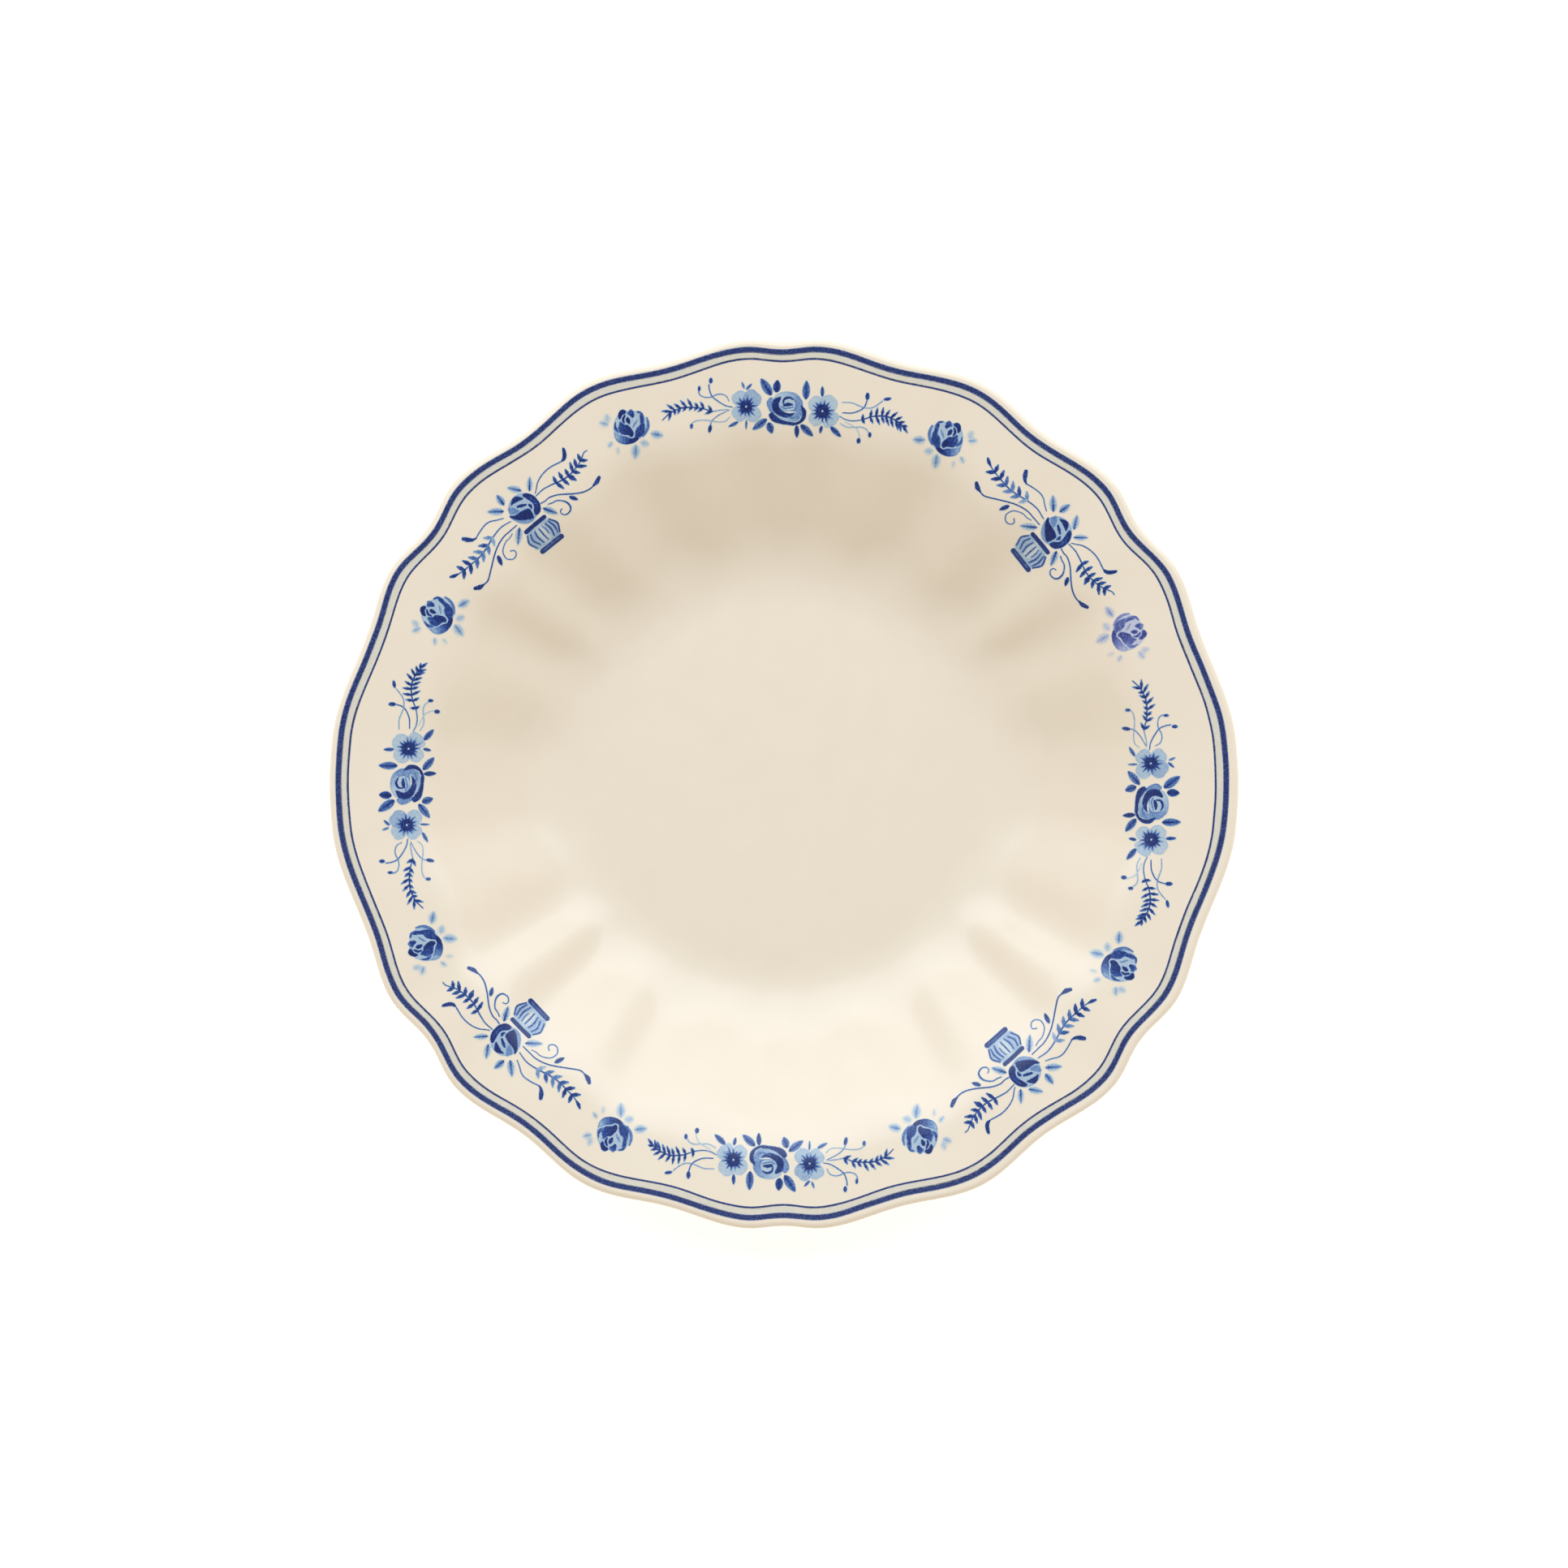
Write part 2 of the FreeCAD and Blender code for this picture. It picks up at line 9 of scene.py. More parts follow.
import bpy
import numpy as np
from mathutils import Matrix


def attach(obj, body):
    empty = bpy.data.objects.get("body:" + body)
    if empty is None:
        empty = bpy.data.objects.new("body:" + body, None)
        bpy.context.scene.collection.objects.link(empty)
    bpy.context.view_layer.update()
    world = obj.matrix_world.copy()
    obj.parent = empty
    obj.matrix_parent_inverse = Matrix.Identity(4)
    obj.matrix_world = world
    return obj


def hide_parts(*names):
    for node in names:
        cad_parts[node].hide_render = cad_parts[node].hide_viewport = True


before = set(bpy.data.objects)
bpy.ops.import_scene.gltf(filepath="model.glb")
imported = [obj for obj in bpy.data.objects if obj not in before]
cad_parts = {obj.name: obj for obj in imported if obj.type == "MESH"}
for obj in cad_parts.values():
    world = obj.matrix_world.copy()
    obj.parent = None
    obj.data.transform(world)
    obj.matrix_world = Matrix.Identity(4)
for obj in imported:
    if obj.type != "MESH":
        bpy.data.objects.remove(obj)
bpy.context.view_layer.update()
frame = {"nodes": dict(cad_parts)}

MM = 0.001

# ---- Sizes shared with the CAD model, in millimetres and degrees -------------------------------------

MEAN_RADIUS = 123.0
FLOOR_HEIGHT = 8.0
LIP_RADIUS = 1.5
EDGE_SLOPE = 8.0
LIP_MIDDLE = MEAN_RADIUS - LIP_RADIUS
FLUTE_START, FLUTE_FULL, FLUTE_END = 52.0, 74.0, 108.0
FLUTE_SWELL = 0.8
LOBE_ANGLES = np.array([0.0, 5.0, 15.3, 26.0, 36.5, 47.3, 54.2, 61.8, 70.0, 84.5, 90.0])
LOBE_RADII = np.array([121.5, 122.6, 120.5, 123.0, 120.1, 123.0, 120.7, 123.3, 121.8, 124.9, 125.0])
LIP_SHIFT = LIP_RADIUS * math.sin(math.radians(EDGE_SLOPE))
# Stations of the section: radius, slope. Between two of them it is an arc, or straight.
UPPER = [(6.0, 0.0), (50.0, -1.6), (74.0, 32.0), (94.0, 32.0), (105.0, 9.0)]
UPPER.append((LIP_MIDDLE - LIP_SHIFT, EDGE_SLOPE))
UNDER = [(60.0, 12.0), (75.0, 32.0), (97.0, 32.0), (108.0, 9.0)]
UNDER.append((LIP_MIDDLE + LIP_SHIFT, EDGE_SLOPE))
# Foot ring, outer side of the bare porcelain: at the table and inside the wall (radius, height).
FOOT_TIP, FOOT_ROOT = (61.6, 0.0), (63.6, 6.6)
GLAZE = 0.25
# The glaze seen on the foot ring ends this high, just above the edge of the CAD model's glaze.
GLAZE_END = 1.5

# ---- The plate's surface ----------------------------------------------------------------------------


def edge_radius(angle):
    """Radius of the lobed edge: half waves between its crests and troughs, the same in each quarter."""
    folded = np.mod(angle, 180.0)
    folded = np.minimum(folded, 180.0 - folded)
    last = len(LOBE_ANGLES) - 2
    number = np.clip(np.searchsorted(LOBE_ANGLES, folded, side="right") - 1, 0, last)
    share = (folded - LOBE_ANGLES[number]) / np.diff(LOBE_ANGLES)[number]
    return LOBE_RADII[number] + np.diff(LOBE_RADII)[number] * (1 - np.cos(np.pi * share)) / 2


def rise(radius, near, far):
    """Height gained from a station to a radius before the next one: on an arc, or a straight slope."""
    (r0, s0), (r1, s1) = near, far
    if s0 == s1:
        return (radius - r0) * math.tan(math.radians(s0))
    first, last = math.sin(math.radians(s0)), math.sin(math.radians(s1))
    bend = (last - first) / (r1 - r0)
    here = first + bend * (radius - r0)
    return (math.cos(math.radians(s0)) - np.sqrt(1 - here * here)) / bend


def height_along(stations, radius):
    """Height gained from the first station to a radius."""
    height = np.zeros(np.shape(radius))
    for near, far in zip(stations, stations[1:]):
        height = height + rise(np.clip(radius, near[0], far[0]), near, far)
    return height


def slope_along(stations, radius):
    """Slope of the section at a radius, in radians."""
    sines = [math.sin(math.radians(slope)) for _, slope in stations]
    return np.arcsin(np.interp(radius, [r for r, _ in stations], sines))


def upper_height(radius):
    return FLOOR_HEIGHT + height_along(UPPER, radius)


def flute_share(radius):
    """How far the surface follows the lobes: 0 on the round floor, 1 at the edge, more on the wall."""
    share = np.clip((radius - FLUTE_START) / (FLUTE_FULL - FLUTE_START), 0.0, 1.0)
    along = np.clip((radius - FLUTE_START) / (FLUTE_END - FLUTE_START), 0.0, 1.0)
    return share * share * (3 - 2 * share) * (1 + FLUTE_SWELL * np.sin(np.pi * along) ** 2)


# Steps in which the round section's radius under a lobed spot is found.
RADIUS_STEPS = 4


def rim_spot(x, y, lift):
    """The point of the upper surface over (x, y), raised by lift."""
    swing = edge_radius(np.degrees(np.arctan2(x, y))) / MEAN_RADIUS - 1
    reach = np.hypot(x, y)
    radius = reach
    for _ in range(RADIUS_STEPS):
        radius = reach / (1 + flute_share(radius) * swing)
    return np.stack([x, y, upper_height(radius) + lift], axis=-1)


# ---- Meshes -----------------------------------------------------------------------------------------


def new_piece(name, corners, faces, material, smooth_below=40.0):
    """A mesh object from corners in millimetres, shaded smooth except over its sharp edges."""
    mesh = bpy.data.meshes.new(name)
    mesh.from_pydata((np.asarray(corners) * MM).tolist(), [], faces)
    mesh.validate()
    mesh.polygons.foreach_set("use_smooth", [True] * len(mesh.polygons))
    mesh.set_sharp_from_angle(angle=math.radians(smooth_below))
    mesh.materials.append(material)
    made = bpy.data.objects.new(name, mesh)
    bpy.context.scene.collection.objects.link(made)
    return made


def settle(piece, node):
    """piece rides on the plate and stands for that CAD node."""
    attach(piece, "root")
    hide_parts(node)


GLAZE_COLUMNS = 360
UPPER_STEP = 1.25
UNDER_STEP = 2.0
LIP_TURNS = 14
COAT_BACK = 0.15
# The underside's glaze turns down onto the foot ring from about this radius.
FOOT_JOIN = 66.0


def glaze_section():
    """Section of the glaze coat from the middle over the lip: radius, height, outward normal (out, up)."""
    rows = []
    for radius in np.arange(1.0, UPPER[-1][0], UPPER_STEP):
        slope = slope_along(UPPER, radius)
        rows.append((radius, upper_height(radius), -math.sin(slope), math.cos(slope)))
    edge = math.radians(EDGE_SLOPE)
    lip_height = upper_height(UPPER[-1][0]) - LIP_RADIUS * math.cos(edge)
    for turn in np.linspace(math.pi / 2 + edge, edge - math.pi / 2, LIP_TURNS + 1):
        out, up = math.cos(turn), math.sin(turn)
        rows.append((LIP_MIDDLE + LIP_RADIUS * out, lip_height + LIP_RADIUS * up, out, up))
    under_end = lip_height - LIP_RADIUS * math.cos(edge)
    lift = under_end - height_along(UNDER, UNDER[-1][0])
    for radius in np.arange(UNDER[-1][0] - UNDER_STEP, FOOT_JOIN, -UNDER_STEP):
        slope = slope_along(UNDER, radius)
        rows.append((radius, lift + height_along(UNDER, radius), math.sin(slope), -math.cos(slope)))
    return rows


# How far below the join the hollow turns: low enough to cover the body at its deepest flute.
HOLLOW_DROP, HOLLOW_END = 1.1, 2.9


def foot_rows(join_radius, join_height, join_share):
    """The glaze turns down onto the foot ring in a soft hollow, and ends in a rounded edge.

    The flutes fade out over the hollow, because the ring itself is round. Returns rows and shares.
    """
    lean = (FOOT_ROOT[0] - FOOT_TIP[0]) / (FOOT_ROOT[1] - FOOT_TIP[1])

    def side(height):
        return FOOT_TIP[0] + GLAZE + lean * height

    corner = (side(join_height - HOLLOW_DROP), join_height - HOLLOW_DROP)
    low = (side(join_height - HOLLOW_END), join_height - HOLLOW_END)
    rows = []
    shares = []
    for share in np.linspace(0.0, 1.0, 7)[1:]:
        a, b, c = (1 - share) ** 2, 2 * share * (1 - share), share**2
        radius = a * join_radius + b * corner[0] + c * low[0]
        height = a * join_height + b * corner[1] + c * low[1]
        turn = share * math.radians(75)
        rows.append((radius, height, math.sin(turn), -math.cos(turn)))
        shares.append(a * join_radius * join_share / radius)
    rows.append((side(GLAZE_END + 0.3), GLAZE_END + 0.3, 1.0, 0.0))
    rows.append((side(GLAZE_END + 0.1) - 0.06, GLAZE_END + 0.1, 0.8, -0.6))
    rows.append((side(GLAZE_END) - GLAZE * 0.7, GLAZE_END, 0.4, -0.9))
    shares += [0.0] * (len(rows) - len(shares))
    return rows, shares


def glaze_surface(material):
    """The glaze coat, one closed skin: what is seen, and a back that lies in the porcelain."""
    rows = glaze_section()
    share = [flute_share(radius) for radius, _, _, _ in rows]
    foot, foot_share = foot_rows(rows[-1][0], rows[-1][1], share[-1])
    rows += foot
    share += foot_share
    front = [(r, z, s) for (r, z, _, _), s in zip(rows, share)]
    back = [
        (r - COAT_BACK * out, z - COAT_BACK * up, s)
        for (r, z, out, up), s in list(zip(rows, share))[::-2]
    ]
    angles = np.arange(GLAZE_COLUMNS) * 360.0 / GLAZE_COLUMNS
    swing = edge_radius(angles) / MEAN_RADIUS - 1
    corners = []
    for radius, height, lobed in front + back:
        reach = radius * (1 + lobed * swing)
        turned = np.radians(angles)
        ring = np.stack([reach * np.sin(turned), reach * np.cos(turned)], axis=-1)
        corners += [(x, y, height) for x, y in ring]
    faces = []
    count = len(front) + len(back)
    for row in range(count - 1):
        for column in range(GLAZE_COLUMNS):
            beside = (column + 1) % GLAZE_COLUMNS
            a, b = row * GLAZE_COLUMNS + column, row * GLAZE_COLUMNS + beside
            faces.append((a, a + GLAZE_COLUMNS, b + GLAZE_COLUMNS, b))
    middle, under = len(corners), len(corners) + 1
    corners += [(0.0, 0.0, front[0][1]), (0.0, 0.0, back[-1][1])]
    last = (count - 1) * GLAZE_COLUMNS
    for column in range(GLAZE_COLUMNS):
        beside = (column + 1) % GLAZE_COLUMNS
        faces.append((column, beside, middle))
        faces.append((last + beside, last + column, under))
    made = new_piece("glaze_surface", corners, faces, material, 80.0)
    settle(made, "glaze_coat")
    return made


# ---- Prints: thin skins on the glaze, with an ink value at each corner -------------------------------

PRINT_LIFT = 0.03
PRINT_SINK = 0.04
INK_NAME = "ink"


def print_piece(name, top, sunk, faces, rim, ink, material):
    """A closed skin: top corners, the same corners sunk into the glaze, and walls along the rim edges."""
    count = len(top)
    corners = np.concatenate([top, sunk])
    skin = [tuple(face) for face in faces]
    skin += [tuple(count + corner for corner in reversed(face)) for face in faces]
    skin += [(b, a, count + a, count + b) for a, b in rim]
    made = new_piece(name, corners, skin, material)
    values = np.concatenate([ink, ink]).astype(np.float32)
    layer = made.data.attributes.new(INK_NAME, "FLOAT", "POINT")
    layer.data.foreach_set("value", values)
    return made


BAND_COLUMNS = 720
BAND_SHIFT = (-0.55, 0.2)


def band(name, profile, material, unevenness, seed):
    """A printed ring. profile lists (mean radius, ink); the line wanders and thins a little."""
    draws = np.random.default_rng(seed)
    turned = np.arange(BAND_COLUMNS) * 2 * np.pi / BAND_COLUMNS
    wander = np.zeros(BAND_COLUMNS)
    for waves in range(3, 60):
        phase, size = draws.uniform(0, 2 * np.pi), draws.normal(0, 1) / math.sqrt(waves)
        wander += size * np.sin(waves * turned + phase)
    wander *= unevenness / wander.std()
    angles = np.degrees(turned)
    top, ink = [], []
    for radius, value in profile:
        reach = (radius + wander) * edge_radius(angles) / MEAN_RADIUS
        x = reach * np.sin(turned) + BAND_SHIFT[0]
        y = reach * np.cos(turned) + BAND_SHIFT[1]
        top.append(rim_spot(x, y, PRINT_LIFT))
        ink.append(np.full(BAND_COLUMNS, value))
    rows = len(profile)
    faces = []
    rim = []
    for column in range(BAND_COLUMNS):
        beside = (column + 1) % BAND_COLUMNS
        for row in range(rows - 1):
            low = row * BAND_COLUMNS
            high = low + BAND_COLUMNS
            faces.append((low + column, high + column, high + beside, low + beside))
        far = (rows - 1) * BAND_COLUMNS
        rim.append((beside, column))
        rim.append((far + column, far + beside))
    top = np.concatenate(top)
    sunk = top - np.array([0, 0, PRINT_LIFT + PRINT_SINK])
    return print_piece(name, top, sunk, faces, rim, np.concatenate(ink), material)


# ---- Painting a motif -------------------------------------------------------------------------------


def curve_through(points, closed=False, steps=7):
    """Points of a smooth curve through the given ones."""
    spots = np.asarray(points, float)
    if closed:
        padded = np.vstack([spots[-1:], spots, spots[:2]])
    else:
        padded = np.vstack([2 * spots[:1] - spots[1:2], spots, 2 * spots[-1:] - spots[-2:-1]])
    made = []
    for before, here, there, after in zip(padded, padded[1:], padded[2:], padded[3:]):
        for share in np.arange(steps) / steps:
            square, cube = share**2, share**3
            spot = 2 * here + (there - before) * share
            spot = spot + (2 * before - 5 * here + 4 * there - after) * square
            made.append((spot + (3 * here - before - 3 * there + after) * cube) / 2)
    if not closed:
        made.append(spots[-1])
    return np.array(made)


class Drawing:
    """A motif's ink on a fine grid: 0 is bare glaze, 1 the darkest blue. x clockwise, y outwards."""

    def __init__(self, reach, step):
        (x0, y0), (x1, y1) = reach
        self.step = step
        self.x, self.y = np.meshgrid(np.arange(x0, x1, step), np.arange(y0, y1, step), indexing="ij")
        self.ink = np.zeros(self.x.shape)

    def window(self, spots, margin):
        """The part of the grid around some points."""
        low, high = spots.min(0) - margin, spots.max(0) + margin
        first = np.floor((low - (self.x[0, 0], self.y[0, 0])) / self.step).astype(int)
        last = np.ceil((high - (self.x[0, 0], self.y[0, 0])) / self.step).astype(int)
        first, last = np.maximum(first, 0), np.maximum(last, 1)
        return slice(first[0], last[0]), slice(first[1], last[1])

    def lay(self, part, cover, ink):
        self.ink[part] = self.ink[part] * (1 - cover) + ink * cover

    def nearest(self, part, line):
        """Distance from each grid point to a polyline, and how far along it that is, 0 to 1."""
        x, y = self.x[part], self.y[part]
        away = np.full(x.shape, np.inf)
        along = np.zeros(x.shape)
        steps = np.hypot(*np.diff(line, axis=0).T)
        run = np.concatenate([[0.0], np.cumsum(steps)])
        for (ax, ay), (bx, by), start, length in zip(line, line[1:], run, steps):
            if length < 1e-9:
                continue
            share = ((x - ax) * (bx - ax) + (y - ay) * (by - ay)) / length**2
            share = np.clip(share, 0, 1)
            gap = np.hypot(x - ax - share * (bx - ax), y - ay - share * (by - ay))
            nearer = gap < away
            away = np.where(nearer, gap, away)
            along = np.where(nearer, (start + share * length) / run[-1], along)
        return away, along

    def shade(self, part, ink):
        """An even ink, or one that runs from (x, y, ink) to a second (x, y, ink)."""
        if np.isscalar(ink):
            return ink
        (ax, ay, a), (bx, by, b) = ink
        length = (bx - ax) ** 2 + (by - ay) ** 2
        share = ((self.x[part] - ax) * (bx - ax) + (self.y[part] - ay) * (by - ay)) / length
        return a + (b - a) * np.clip(share, 0, 1)

    def petal(self, points, ink, edge=0.0, soft=0.22, edge_width=0.5):
        """A closed smooth shape. edge is how much darker its border is."""
        line = curve_through(points, closed=True)
        part = self.window(line, 1.0)
        x, y = self.x[part], self.y[part]
        closed = np.vstack([line, line[:1]])
        inside = np.zeros(x.shape, bool)
        for (ax, ay), (bx, by) in zip(closed, closed[1:]):
            if ay == by:
                continue
            crosses = (ay > y) != (by > y)
            inside ^= crosses & (x < ax + (y - ay) * (bx - ax) / (by - ay))
        away, _ = self.nearest(part, closed)
        depth = np.where(inside, away, -away)
        cover = np.clip(0.5 + depth / soft, 0, 1)
        value = self.shade(part, ink) + edge * np.clip(1 - depth / edge_width, 0, 1)
        self.lay(part, cover, np.clip(value, 0, 1))

    def stroke(self, points, width, ink, soft=0.16):
        """A smooth line. width and ink may be one value or several, spread evenly along it."""
        line = curve_through(points)
        widths, inks = np.atleast_1d(width), np.atleast_1d(ink)
        part = self.window(line, widths.max() / 2 + 0.5)
        away, along = self.nearest(part, line)
        half = np.interp(along, np.linspace(0, 1, len(widths)), widths) / 2
        value = np.interp(along, np.linspace(0, 1, len(inks)), inks)
        cover = np.clip(0.5 + (half - away) / soft, 0, 1)
        self.lay(part, cover, value)

    def leaf(self, root, tip, width, ink, vein=None, soft=0.3):
        """An oval leaf from root to tip. vein darkens its middle, with ribs that slant off it."""
        line = np.linspace(root, tip, 5)
        part = self.window(line, width / 2 + 0.5)
        away, along = self.nearest(part, line)
        half = width / 2 * np.sin(np.pi * along**0.85) ** 0.65
        cover = np.clip(0.5 + (half - away) / soft, 0, 1)
        if soft > 0.6:
            cover = cover * np.sqrt(np.clip(np.sin(np.pi * along), 0, 1))
        value = ink - 0.12 * ink * np.clip(away / (width / 2), 0, 1)
        if vein is not None:
            core = np.clip(1.2 - away / (0.18 * width), 0, 1) * np.clip(1.3 - along, 0, 1)
            ribs = np.clip(np.sin(2 * np.pi * (along * 5 - away * 1.1)), 0, 1) * np.clip(1.2 - along, 0, 1)
            value = value + (vein - ink) * np.maximum(core, 0.4 * ribs)
        self.lay(part, cover, np.clip(value, 0, 1))

    def bud(self, spot, size, ink, turn=0.0):
        """A small oval: size is its width and height before it is turned."""
        x, y = self.x - spot[0], self.y - spot[1]
        cosine, sine = math.cos(math.radians(turn)), math.sin(math.radians(turn))
        across, up = x * cosine + y * sine, y * cosine - x * sine
        out = np.hypot(across / (size[0] / 2), up / (size[1] / 2))
        cover = np.clip(0.5 + (1 - out) * min(size) / 0.4, 0, 1)
        self.lay(slice(None), cover, ink)

    def twig(self, points, ink, width=0.34, bud=None, bud_ink=None, turn=0.0):
        """A tendril, thin at both ends, with a bud at (x, y, width, height) if there is one."""
        self.stroke(points, (width * 0.8, width, width), ink)
        if bud is not None:
            self.bud(bud[:2], bud[2:], ink if bud_ink is None else bud_ink, turn)

    def spray(self, spine, leaflets, width, dark, pale):
        """A fern leaf: leaflets list (x, y, tip x, tip y) and a share of the width and the ink."""
        self.stroke(spine, (0.3, 0.45, 0.3), dark * 0.9)
        for x, y, tip_x, tip_y, *extra in leaflets:
            stretch = extra[0] if extra else 1.0
            ink = extra[1] if len(extra) > 1 else dark
            spots = [(x, y), ((x + tip_x) / 2, (y + tip_y) / 2), (tip_x, tip_y)]
            widths = (width * 0.6 * stretch, width * 1.12 * stretch, width * 0.5)
            self.stroke(spots, widths, (ink, ink, ink * pale))

    def star(self, spot, size, spikes, reach):
        """The dark eye of a flower, with its stamens and a bare dot in the middle."""
        x, y = spot
        for number in range(spikes):
            turn = 2 * math.pi * (number + 0.3) / spikes
            length = reach * (1.0, 0.8, 0.92)[number % 3]
            far = (x + length * math.cos(turn), y + length * math.sin(turn))
            middle = ((x + far[0]) / 2, (y + far[1]) / 2)
            self.stroke([spot, middle, far], (0.9, 0.55, 0.12), (1.0, 0.9, 0.7))
        self.bud(spot, (size * 2, size * 2), 0.95)
        self.bud(spot, (0.6, 0.6), 0.12)


def paint_rose_head(drawing):
    """The open rose in the middle of a garland."""
    dome = [(-4, 1.6), (-3.5, 3.2), (-1.8, 4.2), (0, 4.4), (1.8, 4.1), (3, 3.3), (4.1, 1.5), (3.6, -0.5)]
    drawing.petal(dome + [(0, -1), (-3, -0.5)], ((-2, 3.5, 0.2), (3, 1.5, 0.42)), 0.12)
    drawing.petal([(-4.5, 2.6), (-5.6, 1.8), (-5.8, 0.8), (-5, -1), (-3.8, -1.8), (-3, 0.5)], 0.42, 0.15)
    lower = [(-3.4, -1.5), (-1.5, -2.2), (1, -2.0), (3, -1.2)]
    lower += [(3.6, -2.6), (2.4, -3.6), (0, -3.6), (-2.4, -2.9)]
    drawing.petal(lower, ((-1.5, -2.6, 0.22), (3, -2.4, 0.42)))
    drawing.petal([(2.6, 0.6), (3.9, 0.7), (4.2, -1.2), (3.4, -2.6), (2.4, -1.4)], 0.42)
    left = [(-2.2, 2.9), (-3.8, 2.1), (-4.3, 0.3), (-3.4, -1.6), (-1, -2.6), (0.8, -2.4), (2.2, -1.2)]
    left += [(1.3, -1.4), (-0.2, -1.4), (-1.8, -0.6), (-2.5, 0.8), (-2.0, 2.3)]
    drawing.petal(left, 0.95)
    drawing.bud((0.2, 1.2), (4.3, 4.0), 0.2)
    drawing.stroke([(1.5, 2.3), (0.3, 2.8), (-1.0, 2.3), (-1.3, 1.2)], (0.35, 0.7, 0.4), 0.9)
    drawing.stroke([(-0.9, 0.7), (0.1, 0.9), (1.2, 0.9)], (0.8, 1.0, 0.5), 0.9)
    drawing.stroke([(-1.8, 0.3), (-0.8, -0.2), (0.5, 0.0), (1.6, 0.3)], (0.3, 0.35, 0.25), 0.6)
    drawing.stroke([(1.9, 2.2), (2.3, 0.9), (1.9, -0.4)], (0.3, 0.35, 0.2), 0.55)
    drawing.stroke([(-0.5, -2.0), (1.5, -2.7), (3, -2.1)], (0.25, 0.35, 0.25), 0.6)
    right = [(3.6, 0.8), (4.8, -0.1), (5.2, -1.2), (4.9, -2.8), (3.6, -4.1), (2.0, -4.6)]
    drawing.petal(right + [(2.3, -3.9), (3.5, -3.2), (4.1, -1.6), (3.8, -0.1)], 0.95)
    bottom = [(-5.1, -2.3), (-4, -3.8), (-2, -4.4), (0, -4.6), (2.0, -4.7), (2.1, -3.9), (0, -3.7)]
    drawing.petal(bottom + [(-2, -3.1), (-3.2, -2.2), (-4.4, -1.5)], 0.92)


def paint_side_flower(drawing, middle, petals, size, spikes, reach):
    """An open flower: pale scalloped petals (x, y, radius, ink) around a dark eye."""
    for x, y, radius, ink in petals:
        outward = math.atan2(y - middle[1], x - middle[0])
        around = []
        for turn in np.linspace(0, 2 * math.pi, 15)[:-1]:
            off = math.remainder(turn - outward, 2 * math.pi)
            swell = radius * (1.04 - 0.16 * math.exp(-((off / 0.4) ** 2)) + 0.03 * math.sin(3 * turn + x))
            around.append((x + swell * math.cos(turn), y + swell * math.sin(turn)))
        pale, deep = (*middle, ink + 0.14), (x, y, ink)
        drawing.petal(around, (pale, deep), 0.07, edge_width=0.35)
    for x, y, _, _ in petals:
        for side in (-0.35, 0.0, 0.35):
            turn = math.atan2(y - middle[1], x - middle[0]) + side
            far = math.hypot(x - middle[0], y - middle[1]) * (1.15 if side == 0 else 0.9)
            near = (middle[0] + size * math.cos(turn), middle[1] + size * math.sin(turn))
            tip = (middle[0] + far * math.cos(turn), middle[1] + far * math.sin(turn))
            drawing.stroke([near, tip], (0.5, 0.3, 0.1), (0.85, 0.6, 0.4))
    drawing.star(middle, size, spikes, reach)


